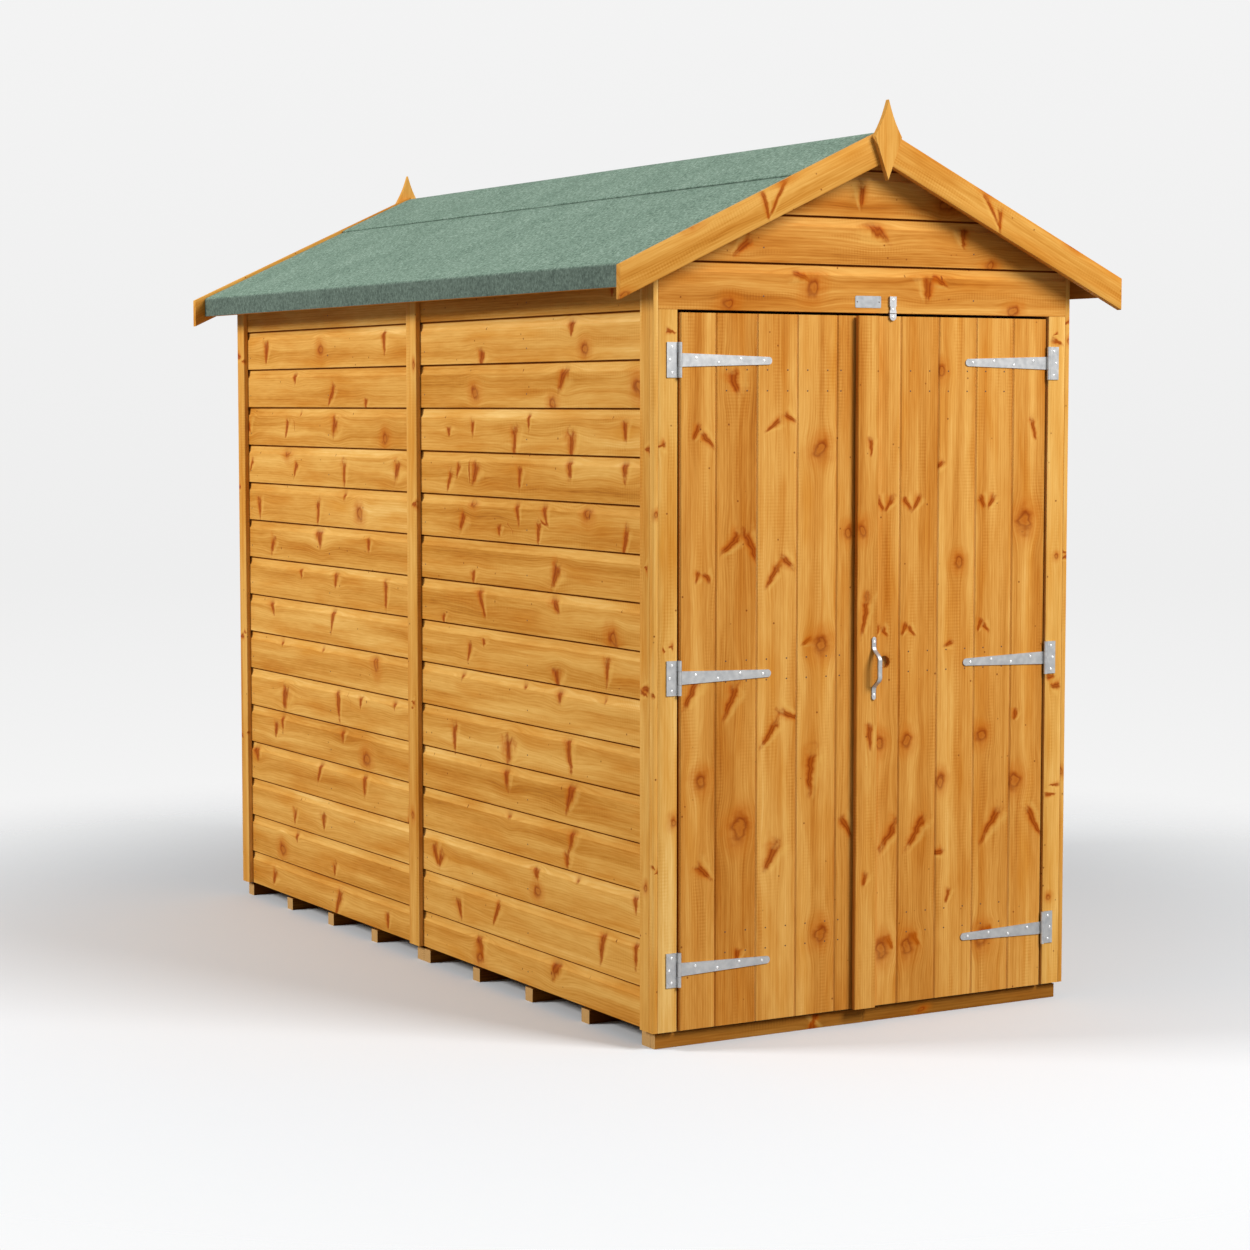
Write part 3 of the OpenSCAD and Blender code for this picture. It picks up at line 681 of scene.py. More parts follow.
def shiplap_section(low, high, top, inner):
    """Section of a board from low to high, cut off at top, with its inner face at d = inner. The hollow is
    a quarter of an ellipse: SCOOP_D sin a deep where it is (SCOOP_H - LAP_SLOT) cos a below the slot."""
    a = np.radians([0, 15, 30, 45, 60, 75, 85, 90])
    hollow_z = high - LAP_SLOT - (SCOOP_H - LAP_SLOT) * np.cos(a)
    hollow = np.stack([hollow_z, CLAD_T - SCOOP_D * np.sin(a)], -1)
    arris = hollow[:1] + ARRIS
    head = high + TONGUE_H
    tongue = [[high - LAP_SLOT, TONGUE_T], [head, TONGUE_T], [head, INNER_EASE], [head - INNER_EASE, 0]]
    foot = low if low < skirt_z + FIT else low + TONGUE_H + FIT
    rebate = [
        [foot + INNER_EASE, 0], [foot, INNER_EASE], [foot, TONGUE_T + FIT / 2], [low, TONGUE_T + FIT / 2],
    ]
    lip = [[low, CLAD_T - LIP_EASE], [low + LIP_EASE, CLAD_T]]
    points = np.concatenate([rebate, lip, arris, hollow[1:], tongue])
    points[:, 0] = np.minimum(points[:, 0], top)
    apart = np.linalg.norm(points - np.roll(points, 1, axis=0), axis=1)
    return points[apart > TINY] + [0, inner]


def lap_painted_light(low, high, inner, whole=0.0):
    """A function for the tone of a board's section: lighter in the hollow, a painted highlight, and darker
    in the slot and under the lip, a painted shade. whole is added to all."""
    def tone(section):
        z = section[:, 0]
        hollow = np.where(z > high - SCOOP_H - 2 * LAP_NEAR, HOLLOW_PAINTED_HIGHLIGHT, 0.0)
        lap = (z > high - LAP_SLOT - LAP_NEAR) | (z < low + LAP_NEAR)
        outside = section[:, 1] > inner + 2 * LAP_NEAR
        return whole + np.where(outside, np.where(lap, LAP_PAINTED_SHADE, hollow), 0.0)
    return tone


def board_edges(low, top):
    """Lower and upper edges of the boards between low and top: a starter and then equal covers."""
    laps = np.arange(skirt_z + STARTER_COVER, top + BOARD_COVER, BOARD_COVER)
    edges = np.concatenate([[skirt_z], laps])
    edges = edges[edges > low - FIT]
    return [(foot, head) for foot, head in zip(edges[:-1], edges[1:]) if foot < top - CLAD_T]


def panel_knots(rows, board, foot, run):
    """Knots given for one board of a panel, as three layers. A row is the layer, the board, counted from
    below, the shares of the run and of the cover, half length and half width in mm, and angle."""
    table = np.reshape([row for row in rows if row[1] == board], (-1, 7))
    layer, _, share, up, long_mm, wide_mm, angle = table.T
    along = run[0] + (run[1] - run[0]) * share
    across = foot + BOARD_COVER * up
    taper = SPIKE_TAPER * (layer < 2)
    knots = np.stack([along, across, long_mm / 1000, wide_mm / 1000, angle, taper], -1)
    return [knots[layer == number] for number in range(3)]


def side_wall(name, node, out, seed, rows=()):
    """Boards of a side panel, which run along y between the ends of the node's box. rows are its knots, if
    they're given."""
    low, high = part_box(node)
    top = roof_under(frame_x + CLAD_T)
    timber = Timber(seed)
    for number, (foot, head) in enumerate(board_edges(low.z, top)):
        section = shiplap_section(foot, head, top, frame_x)
        tone = lap_painted_light(foot, head, frame_x)
        knots = panel_knots(rows, number, foot, (high.y, low.y)) if rows else None
        timber.board(section, (Z, out, Y), low.y, high.y, frame_x + CLAD_T, knots=knots, tone_and_painted_light=tone)
    timber.piece(name, wall_wood, "shed", node, "cladding")


def end_wall(name, node, out, seed, finish=wall_wood, whole=0.0, rows=()):
    """Boards of an end wall, which run along x and are cut to the slope of the roof. whole is added to the
    tone of all of them, and rows are their knots, if they're given."""
    low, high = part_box(node)
    inner = min(abs(low.y), abs(high.y))

    def reach(section):
        return np.minimum(high.x, (roof_under(0) - section[:, 0]) / np.tan(PITCH))

    timber = Timber(seed)
    for number, (foot, head) in enumerate(board_edges(low.z, high.z)):
        section = shiplap_section(foot, head, high.z - CLAD_T / 2, inner)
        ends = (lambda section: -reach(section), reach)
        tone = lap_painted_light(foot, head, inner, whole)
        knots = panel_knots(rows, number, foot, (low.x, high.x)) if rows else None
        timber.board(section, (Z, out, X), *ends, inner + CLAD_T, knots=knots, tone_and_painted_light=tone)
    timber.piece(name, finish, "shed", node, "cladding")


print("boards cover", BOARD_COVER, "m")

# %% [markdown]
# Knots of the left wall and the gable
# Chance makes good wood, but not this wood. On the two walls that face the camera the knots were set one by
# one, about where the real boards have them. A row gives the layer, with 0 and 1 for spikes and 2 for round
# knots, the board, counted from below, how far along and up the knot sits, as shares, and its size in mm and
# angle. The other walls take theirs by chance.

# %% Walls with their knots
LEFT_BACK_KNOTS = (
    (0, 14, 0.15, 0.45, 30, 10, 1.7), (2, 14, 0.47, 0.45, 14, 12, 0.2), (1, 14, 0.82, 0.60, 32, 9, 1.6),
    (0, 13, 0.32, 0.75, 18, 8, 1.6), (1, 13, 0.53, 0.30, 34, 8, 2.2), (0, 13, 0.72, 0.10, 14, 8, 1.7),
    (0, 12, 0.27, 0.45, 30, 7, 2.0), (1, 12, 0.55, 0.50, 30, 15, 2.1), (2, 12, 0.82, 0.25, 14, 13, 0.2),
    (0, 12, 0.04, 0.50, 16, 14, 1.2), (0, 12, 0.35, 0.90, 14, 6, 1.6), (2, 11, 0.27, 0.85, 14, 11, 0.0),
    (0, 11, 0.32, 0.40, 26, 7, 2.1), (1, 11, 0.60, 0.35, 38, 9, 1.6), (0, 11, 0.88, 0.45, 30, 14, 2.1),
    (1, 11, 0.05, 0.45, 22, 5, 2.2), (0, 10, 0.10, 0.35, 34, 9, 1.5), (1, 10, 0.45, 0.30, 38, 8, 1.7),
    (2, 10, 0.68, 0.35, 16, 13, 0.8), (0, 10, 0.60, 0.85, 20, 9, 1.6), (0, 9, 0.46, 0.75, 32, 16, 1.5),
    (1, 9, 0.18, 0.35, 30, 9, 2.0), (0, 9, 0.73, 0.60, 20, 8, 1.6), (1, 8, 0.35, 0.70, 14, 7, 1.5),
    (0, 8, 0.55, 0.65, 24, 10, 1.8), (1, 8, 0.82, 0.45, 40, 8, 1.6), (0, 7, 0.17, 0.80, 32, 10, 1.1),
    (1, 7, 0.53, 0.70, 46, 8, 1.9), (0, 7, 0.98, 0.70, 30, 10, 2.1), (0, 6, 0.23, 0.90, 18, 9, 1.5),
    (1, 6, 0.47, 0.90, 18, 7, 1.6), (2, 6, 0.76, 0.75, 22, 12, 1.2), (0, 5, 0.68, 0.70, 18, 8, 1.8),
    (1, 5, 0.25, 0.35, 34, 17, 1.9), (0, 5, 0.56, 0.50, 44, 9, 1.5), (1, 5, 0.86, 0.85, 18, 9, 1.6),
    (0, 4, 0.23, 0.75, 28, 9, 1.6), (1, 4, 0.19, 0.45, 22, 9, 2.0), (0, 4, 0.58, 0.80, 26, 10, 1.6),
    (2, 4, 0.71, 0.30, 18, 14, 0.3), (0, 3, 0.45, 0.75, 44, 8, 2.0), (1, 3, 0.07, 0.75, 24, 16, 1.2),
    (0, 3, 0.70, 0.65, 34, 10, 1.6), (1, 3, 0.94, 0.15, 28, 9, 2.2), (0, 2, 0.30, 0.30, 22, 8, 1.7),
    (1, 2, 0.47, 0.40, 22, 10, 1.6), (2, 1, 0.22, 0.30, 16, 13, 0.3), (0, 1, 0.31, 0.80, 18, 8, 1.6),
    (1, 1, 0.53, 0.25, 22, 8, 1.7), (0, 0, 0.17, 0.35, 26, 9, 2.1), (1, 0, 0.55, 0.30, 46, 11, 2.1),
    (0, 0, 0.82, 0.30, 24, 8, 1.6), (1, 0, 0.98, 0.20, 30, 9, 2.1),
)
LEFT_FRONT_KNOTS = (
    (0, 15, 0.84, 0.50, 18, 8, 1.7), (0, 14, 0.68, 0.75, 20, 12, 1.8), (2, 14, 0.73, 0.25, 13, 11, 0.2),
    (1, 14, 0.29, 0.10, 22, 11, 1.9), (2, 13, 0.26, 0.35, 15, 12, 0.3), (0, 13, 0.64, 0.60, 36, 13, 2.2),
    (2, 13, 0.60, 0.10, 13, 10, 0.0), (2, 13, 0.94, 0.40, 20, 15, 0.6), (0, 12, 0.14, 0.45, 12, 8, 1.6),
    (1, 12, 0.25, 0.55, 22, 6, 1.6), (0, 12, 0.44, 0.25, 38, 11, 1.7), (1, 12, 0.50, 0.70, 26, 5, 1.6),
    (0, 12, 0.68, 0.20, 36, 13, 1.6), (1, 12, 0.89, 0.50, 30, 8, 1.6), (0, 11, 0.14, 0.30, 30, 8, 2.1),
    (1, 11, 0.26, 0.50, 30, 13, 2.1), (0, 11, 0.46, 0.45, 28, 8, 1.7), (1, 11, 0.67, 0.75, 36, 11, 1.6),
    (0, 11, 0.89, 0.75, 30, 11, 1.6), (1, 11, 0.18, 0.55, 22, 6, 2.0), (2, 10, 0.25, 0.85, 14, 10, 0.4),
    (0, 10, 0.45, 0.75, 36, 8, 1.4), (1, 10, 0.57, 0.70, 34, 9, 1.3), (2, 10, 0.74, 0.75, 14, 12, 0.2),
    (0, 10, 0.20, 0.35, 28, 10, 2.2), (1, 10, 0.54, 0.25, 28, 7, 1.7), (0, 10, 0.37, 0.25, 14, 7, 1.6),
    (1, 10, 0.89, 0.20, 40, 7, 1.9), (0, 9, 0.25, 0.15, 16, 8, 1.6), (1, 9, 0.61, 0.35, 34, 12, 2.1),
    (0, 8, 0.29, 0.60, 46, 9, 1.2), (1, 8, 0.61, 0.80, 36, 12, 1.0), (2, 8, 0.84, 0.15, 18, 13, 0.5),
    (1, 8, 0.11, 0.10, 12, 7, 1.6), (0, 7, 0.23, 0.40, 26, 8, 2.0), (1, 7, 0.82, 0.45, 34, 9, 1.7),
    (0, 7, 0.62, 0.15, 22, 14, 1.6), (1, 7, 0.30, 0.65, 10, 7, 1.6), (0, 6, 0.63, 0.80, 26, 13, 1.6),
    (1, 6, 0.20, 0.90, 22, 9, 2.0), (0, 6, 0.48, 0.85, 12, 7, 1.6), (1, 6, 0.81, 0.95, 20, 8, 1.6),
    (0, 5, 0.16, 0.35, 36, 9, 1.6), (1, 5, 0.41, 0.30, 34, 19, 1.7), (0, 5, 0.67, 0.50, 48, 10, 1.4),
    (1, 4, 0.40, 0.70, 30, 12, 1.4), (0, 4, 0.67, 0.60, 44, 12, 2.0), (0, 3, 0.41, 0.90, 16, 12, 1.6),
    (1, 3, 0.68, 0.75, 46, 12, 2.0), (0, 3, 0.66, 0.20, 22, 9, 1.6), (0, 2, 0.07, 0.45, 32, 10, 1.1),
    (1, 2, 0.09, 0.35, 26, 9, 2.1), (0, 2, 0.53, 0.70, 16, 11, 1.6), (1, 2, 0.70, 0.90, 18, 9, 1.7),
    (0, 2, 0.93, 0.70, 22, 8, 1.5), (2, 2, 0.53, 0.30, 13, 11, 0.2), (0, 1, 0.18, 0.35, 30, 9, 1.2),
    (1, 1, 0.35, 0.50, 36, 7, 2.1), (0, 1, 0.80, 0.55, 40, 9, 1.8), (1, 1, 0.93, 0.65, 38, 8, 1.6),
    (0, 0, 0.28, 0.45, 34, 13, 1.3), (1, 0, 0.61, 0.60, 34, 15, 2.1), (2, 0, 0.27, 0.20, 14, 11, 0.3),
)
GABLE_KNOTS = (
    (2, 0, 0.36, 0.50, 19, 14, 1.2), (1, 0, 0.33, 0.72, 26, 7, 2.8), (0, 0, 0.67, 0.70, 24, 7, 2.7),
    (1, 0, 0.64, 0.52, 28, 10, 1.5), (2, 0, 0.16, 0.14, 14, 10, 0.3), (2, 0, 0.86, 0.12, 14, 9, 0.3),
    (0, 1, 0.51, 0.72, 42, 13, 2.5), (1, 1, 0.73, 0.66, 26, 9, 1.7), (0, 1, 0.19, 0.33, 30, 8, 0.8),
    (2, 1, 0.80, 0.08, 12, 9, 0.2), (0, 2, 0.475, 0.45, 30, 7, 1.6), (2, 2, 0.69, 0.32, 24, 15, 0.3),
    (1, 2, 0.62, 0.82, 24, 9, 2.4),
)
side_wall("left_front_cladding", "left_wall_front", -X, 11, LEFT_FRONT_KNOTS)
side_wall("left_back_cladding", "left_wall_back", -X, 12, LEFT_BACK_KNOTS)
side_wall("right_front_cladding", "right_wall_front", X, 13)
side_wall("right_back_cladding", "right_wall_back", X, 14)
end_wall("back_cladding", "back_wall", Y, 15)
end_wall("gable_cladding", "front_gable", -Y, 16, door_wood, GABLE_TONE, GABLE_KNOTS)

# %% [markdown]
# Posts, strips and beads
# Square-edged trim is planed and its edges are just broken with a plane. Sharp CAD edges look like paper, so
# each corner of the section is a small quarter circle, which catches a thin line of light.

# %% Trim of the walls
FRONT_STRIP = 0.044
MID_STRIP = 0.060
BACK_STRIP = 0.050
BEAD_D = 0.016
POST_W = 0.051
TRIM_TONE = 0.7
TRIM_BOLD = 0.55
BEAD_BOLD = 0.4

post_low, post_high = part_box("front_posts")
strip_low, strip_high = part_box("right_cover_strips")
clad_x, strip_x = strip_low.x, strip_high.x


def upright(timber, side, x, y, top, out, bold=TRIM_BOLD):
    """A stick on one side that faces out, between two distances x from the middle and two places y."""
    x = sorted((side * x[0], side * x[1]))
    if out[1] == 0:
        across, wide, deep = Y, y, sorted((x[0] * out[0], x[1] * out[0]))
    else:
        across, wide, deep = X, x, sorted((y[0] * out[1], y[1] * out[1]))
    section = eased_box(*wide, *deep)
    timber.board(section, (across, out, Z), skirt_z, top, deep[1], bold, tone_and_painted_light=lambda _: TRIM_TONE)


posts, beads = Timber(21), Timber(22)
for side in (-1, 1):
    upright(posts, side, (clad_x - POST_W, clad_x), (post_low.y, post_high.y), post_high.z, -Y)
    bead_y = (post_low.y, post_low.y + BEAD_D)
    upright(beads, side, (clad_x, strip_x), bead_y, roof_under(strip_x), -Y, BEAD_BOLD)
posts.piece("door_posts", wall_wood, "shed", "front_posts", "joinery")
beads.piece("corner_trim", wall_wood, "shed", "corner_beads", "joinery")

STRIPS = (
    (post_low.y + BEAD_D, FRONT_STRIP), (0.0, MID_STRIP), (strip_high.y - BACK_STRIP, BACK_STRIP),
)
for name, node, side, seed in (
    ("left_trim_strips", "left_cover_strips", -1, 23), ("right_trim_strips", "right_cover_strips", 1, 24),
):
    strips = Timber(seed)
    for y0, width in STRIPS:
        upright(strips, side, (clad_x, strip_x), (y0, y0 + width), roof_under(strip_x), side * X)
    strips.piece(name, wall_wood, "shed", node, "joinery")

# %% [markdown]
# Doors
# Each leaf is a row of matchboards nailed to ledges. Their long edges are chamfered, so a V shows at each
# joint with a fine dark gap at its bottom. The boards' knots were set one by one too: a row is the layer,
# the places along and across, half length, half width and angle. Three boards of the right leaf look alike,
# so they share one figure.

# %% Door boards
DOOR_T = 0.012
DOOR_COVER = 0.1115
LEFT_FREE = 0.0755
EDGE_MIN = 0.030
CHAMFER = 0.0028
JOINT_GAP = 0.0008
TONGUE_GAP = 0.0004
# The chamfers get a painted highlight, and the eased edges at the back a painted shade in the joints.
CHAMFER_PAINTED_HIGHLIGHT = 1.2
BACK_EASE = 0.0014
BACK_JOINT_PAINTED_SHADE = -4.0
LOCK_SHIFT = 0.022
DOOR_TAPER = 0.4


def matchboard(c0, c1, face, back):
    """Section of a board between c0 and c1 with its face and back at those depths. The front half is
    chamfered and leaves a gap at both joints. The back half reaches the next board, as a tongue would, and
    its edges are eased."""
    a, b = c0 + JOINT_GAP / 2, c1 - JOINT_GAP / 2
    deep_a, deep_b = c0 + TONGUE_GAP / 2, c1 - TONGUE_GAP / 2
    middle = (face + back) / 2
    inward = CHAMFER * np.sign(back - face)
    eased = back - BACK_EASE * np.sign(back - face)
    return np.array([
        [deep_a, eased], [deep_a + BACK_EASE, back], [deep_b - BACK_EASE, back], [deep_b, eased],
        [deep_b, middle], [b, middle], [b, face + inward], [b - CHAMFER, face],
        [a + CHAMFER, face], [a, face + inward], [a, middle], [deep_a, middle],
    ])


def knot_rows(rows, shift=0.0, start=0.0):
    """Listed knots as three layers. A row is the layer, the places along and across, half length, half width
    and angle from the grain. start and shift are added to the places."""
    table = np.array(rows)
    taper = DOOR_TAPER * (table[:, :1] < 2)
    knots = np.concatenate([table[:, 1:], taper], -1) + [start, shift, 0, 0, 0, 0]
    return [knots[table[:, 0] == layer] for layer in range(3)]


def leaf(name, node, body, edges, placed, seed):
    """A leaf's boards between the given x edges, from its node's foot to its head, with the knots that were
    placed on each of them. The chamfers are lighter, a painted highlight, and the eased edges at the back
    darker, a painted shade in the joints."""
    low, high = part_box(node)

    def chamfer_painted_light(section):
        depth = -low.y - section[:, 1]
        back_painted_shade = np.where(np.abs(depth + BACK_EASE - DOOR_T) < FIT, BACK_JOINT_PAINTED_SHADE, 0.0)
        return np.where((depth > CHAMFER / 2) & (depth < 2 * CHAMFER), CHAMFER_PAINTED_HIGHLIGHT, back_painted_shade)

    timber = Timber(seed)
    for x0, x1 in zip(edges[:-1], edges[1:]):
        section = matchboard(x0, x1, -low.y, -low.y - DOOR_T)
        knots = [layer[(layer[:, 1] > x0) & (layer[:, 1] < x1)] for layer in placed]
        timber.board(section, (X, -Y, Z), low.z, high.z, -low.y, knots=knots, tone_and_painted_light=chamfer_painted_light)
    return timber.piece(name, door_wood, body, node, "joinery")


LEFT_KNOTS = (
    (0, 1.160, -0.385, 0.036, 0.008, 0.85), (1, 1.150, -0.328, 0.045, 0.008, -0.4),
    (0, 1.080, -0.272, 0.034, 0.006, 0.6), (1, 1.115, -0.232, 0.022, 0.008, -0.8),
    (2, 1.375, -0.140, 0.017, 0.014, 0.3), (0, 1.415, -0.480, 0.018, 0.006, 0.5),
    (1, 1.400, -0.450, 0.026, 0.006, -0.7), (0, 1.430, -0.270, 0.024, 0.005, 1.0),
    (1, 1.450, -0.225, 0.020, 0.006, -1.0), (0, 1.085, -0.475, 0.014, 0.006, 0.4),
    (1, 1.085, -0.450, 0.014, 0.006, -0.4), (0, 0.820, -0.490, 0.042, 0.009, 0.5),
    (0, 0.795, -0.385, 0.046, 0.009, 0.4), (0, 0.715, -0.278, 0.036, 0.007, 0.65),
    (1, 0.760, -0.228, 0.026, 0.007, -1.1), (0, 0.620, -0.160, 0.055, 0.010, 0.12),
    (2, 0.495, -0.362, 0.030, 0.018, 0.15), (0, 0.425, -0.272, 0.040, 0.010, 0.5),
    (1, 0.405, -0.458, 0.026, 0.008, -0.8), (2, 0.615, -0.466, 0.015, 0.012, 0.0),
    (2, 0.915, -0.135, 0.018, 0.016, 0.0), (0, 0.925, -0.172, 0.016, 0.005, 1.2),
    (0, 1.530, -0.372, 0.030, 0.012, -0.2), (1, 0.200, -0.365, 0.016, 0.006, 0.2),
    (2, 0.230, -0.135, 0.018, 0.014, 0.0), (1, 0.480, -0.060, 0.032, 0.007, -0.5),
    (2, 1.180, -0.060, 0.012, 0.009, 0.0),
)
FIGURE = (
    (0, 1.245, 0.022, 0.018, 0.006, -0.5), (1, 1.245, 0.050, 0.020, 0.006, 0.6),
    (0, 0.945, 0.016, 0.015, 0.005, 0.4), (1, 0.940, 0.036, 0.015, 0.005, -0.6),
    (2, 0.675, 0.024, 0.014, 0.011, 0.0), (0, 0.450, 0.055, 0.050, 0.009, 0.62),
    (2, 0.175, 0.032, 0.020, 0.015, 0.0), (1, 0.190, 0.058, 0.018, 0.006, -0.5),
)
RIGHT_KNOTS = (
    (2, 1.560, 0.206, 0.012, 0.009, 0.0), (0, 1.330, 0.203, 0.020, 0.005, 0.9),
    (2, 1.100, 0.262, 0.012, 0.010, 0.0), (0, 0.900, 0.235, 0.014, 0.005, 1.3),
    (2, 0.570, 0.215, 0.014, 0.009, 0.0), (1, 0.395, 0.205, 0.020, 0.005, 1.4),
    (0, 0.290, 0.240, 0.018, 0.005, 0.3), (2, 1.195, 0.460, 0.024, 0.018, 0.1),
    (2, 0.555, 0.440, 0.018, 0.014, 0.0), (0, 0.455, 0.500, 0.045, 0.007, -0.55),
    (0, 0.720, 0.440, 0.014, 0.006, 0.3), (1, 1.420, 0.490, 0.030, 0.005, -0.2),
)

left_low, left_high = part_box("left_door_boards")
right_low, right_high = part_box("right_door_boards")
lock_low, lock_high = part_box("right_lock_board")
left_edges = np.arange(left_high.x - LEFT_FREE, left_low.x + EDGE_MIN, -DOOR_COVER)[::-1]
right_edges = np.arange(right_low.x, right_high.x - EDGE_MIN, DOOR_COVER)
shared = (knot_rows(FIGURE, right_edges[0]), knot_rows(FIGURE, right_edges[2]), knot_rows(RIGHT_KNOTS))
right_knots = [np.concatenate(layer) for layer in zip(*shared)]
lock_knots = knot_rows(FIGURE, lock_low.x + LOCK_SHIFT)
left_ends = [left_low.x, *left_edges, left_high.x]
leaf("left_leaf", "left_door_boards", "left_door", left_ends, knot_rows(LEFT_KNOTS), 31)
leaf("right_leaf", "right_door_boards", "right_door", [*right_edges, right_high.x], right_knots, 32)
lock_ends = [lock_low.x, lock_high.x]
lock_board = leaf("lock_board", "right_lock_board", "right_door", lock_ends, lock_knots, 33)

# %% [markdown]
# Finger hole
# The board at the free edge of the right leaf has a hole for a finger. It is cut with a boolean from a round
# plug, because that keeps the grain map of the board round the hole.

# %% Finger hole
HOLE_R = 0.015
HOLE_X = 0.058
HOLE_Z = 0.868
HOLE_SIDES = 48

turn = np.linspace(0, 2 * np.pi, HOLE_SIDES, endpoint=False)
rim = [lock_low.x + HOLE_X, 0, HOLE_Z] + HOLE_R * np.stack([np.cos(turn), 0 * turn, np.sin(turn)], -1)
plug_points = np.stack([rim + (lock_low.y - DOOR_T) * Y, rim + (lock_high.y + DOOR_T) * Y])
caps = [np.arange(HOLE_SIDES).tolist(), np.arange(HOLE_SIDES, 2 * HOLE_SIDES)[::-1].tolist()]
plug_mesh = new_mesh("plug", plug_points, ring_faces(2, HOLE_SIDES)[:, ::-1].tolist() + caps)
plug = bpy.data.objects.new("plug", plug_mesh)
scene.collection.objects.link(plug)
cut = lock_board.modifiers.new("finger_hole", "BOOLEAN")
cut.object = plug
cut.solver = "EXACT"
bpy.context.view_layer.update()
cut_board = lock_board.evaluated_get(bpy.context.evaluated_depsgraph_get())
cut_mesh = bpy.data.meshes.new_from_object(cut_board)
lock_board.modifiers.clear()
lock_board.data = cut_mesh
bpy.data.objects.remove(plug)
print("lock_board:", len(cut_mesh.polygons), "faces with its finger hole")

# %% [markdown]
# Meeting strip
# The strip that covers the joint is fixed to the right leaf and laps over the left one. Behind the lap it is
# thinner, so that the left leaf has room to pass.

# %% Meeting strip
LAP_CLEAR = 0.005
EASE = 0.0015
MEET_KNOTS = (
    (0, 0.985, -0.020, 0.050, 0.007, 0.2), (1, 0.690, -0.004, 0.032, 0.006, 0.0),
    (0, 1.380, -0.006, 0.020, 0.005, 0.0), (2, 1.185, -0.030, 0.014, 0.010, 0.0),
    (1, 0.350, -0.018, 0.018, 0.006, 0.3),
)
meet_low, meet_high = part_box("meeting_strip")
front, back = -meet_low.y, -meet_high.y
meet_section = np.array([
    [meet_low.x, back + LAP_CLEAR], [lock_low.x, back + LAP_CLEAR], [lock_low.x, back], [meet_high.x, back],
    [meet_high.x, front - EASE], [meet_high.x - EASE, front],
    [meet_low.x + EASE, front], [meet_low.x, front - EASE],
])
meeting = Timber(34)
meet_knots = knot_rows(MEET_KNOTS)
meeting.board(meet_section, (X, -Y, Z), meet_low.z, meet_high.z, front, knots=meet_knots)
meeting.piece("meeting_cover", door_wood, "right_door", "meeting_strip", "joinery")

# %% [markdown]
# Barge boards
# Barge boards are planks laid along the slope and cut plumb at both ends. In the slope's own axes a plumb
# cut is a slanted end, so every point of the section gets its own start and end. The knots of the two front
# boards are listed.

# %% Barge boards
BARGE_TONE = 0.25
# The front right barge board is drawn darker than the others: a painted shade.
BARGE_PAINTED_SHADE = -0.5
BARGE_EASE = 0.002
BARGE_BOLD = 0.7
LEFT_BARGE_KNOTS = (
    (0, 0.362, 0.000, 0.034, 0.0045, 1.75), (1, 0.325, 0.004, 0.048, 0.0040, 2.5),
    (2, 0.290, 0.042, 0.012, 0.0070, 0.0), (2, 0.560, 0.042, 0.014, 0.0070, 0.1),
    (2, 0.790, -0.034, 0.012, 0.0070, 0.0),
)
RIGHT_BARGE_KNOTS = (
    (0, 0.372, -0.008, 0.028, 0.0045, 2.05), (1, 0.340, 0.004, 0.046, 0.0040, 2.55),
    (2, 0.310, 0.042, 0.011, 0.0070, 0.0), (2, 0.600, 0.040, 0.013, 0.0070, 0.2),
)


def slope_axes(side):
    """The slope's own axes on one side of the ridge: up from the roof, and down along it."""
    up = np.array([side * np.sin(PITCH), 0, np.cos(PITCH)])
    down = np.array([side * np.cos(PITCH), 0, -np.sin(PITCH)])
    return up, down


def plumb(x, column):
    """How far down the slope each point of a section reaches x. column holds its height above the slope."""
    return lambda section: (x - section[:, column] * np.sin(PITCH)) / np.cos(PITCH)


def barge(name, node, side, out, seed, tone=BARGE_TONE, rows=()):
    """A barge board, from x = 0 to the far side of its node's box. tone is added to its wood's, and rows are
    its knots, from the ridge and the board's middle, if they're given."""
    low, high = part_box(node)
    up, down = slope_axes(side)
    reach = max(abs(low.x), abs(high.x))
    top = high.z * np.cos(PITCH)
    width = (high.z - np.tan(PITCH) * reach - low.z) * np.cos(PITCH)
    near, far = sorted((low.y * out[1], high.y * out[1]))
    timber = Timber(seed)
    section = eased_box(top - width, top, near, far, BARGE_EASE)
    ends = plumb(FIT, 0), plumb(reach, 0)
    middle = top - width / 2
    knots = knot_rows(rows, middle, -middle * np.tan(PITCH)) if rows else None
    timber.board(section, (up, out, down), *ends, far, BARGE_BOLD, knots=knots, tone_and_painted_light=lambda _: tone)
    timber.piece(name, wall_wood, "shed", node, "roof_trim")


barge("front_left_barge", "barge_front_left", -1, -Y, 41, rows=LEFT_BARGE_KNOTS)
barge("front_right_barge", "barge_front_right", 1, -Y, 42, BARGE_PAINTED_SHADE, RIGHT_BARGE_KNOTS)
barge("back_left_barge", "barge_back_left", -1, Y, 43)
barge("back_right_barge", "barge_back_right", 1, Y, 44)

# %% [markdown]
# Finials
# A finial is a kite with slightly hollow upper sides, cut from a board. It is an outline carried through the
# thickness of the board, and a smaller outline at both faces eases its edges.

# %% Finials
FINIAL_EASE = 0.0012
FINIAL_HOLLOW = 0.003
FINIAL_SHOULDER = 0.086
FINIAL_TONE = 1.1
FINIAL_POINTS = 9


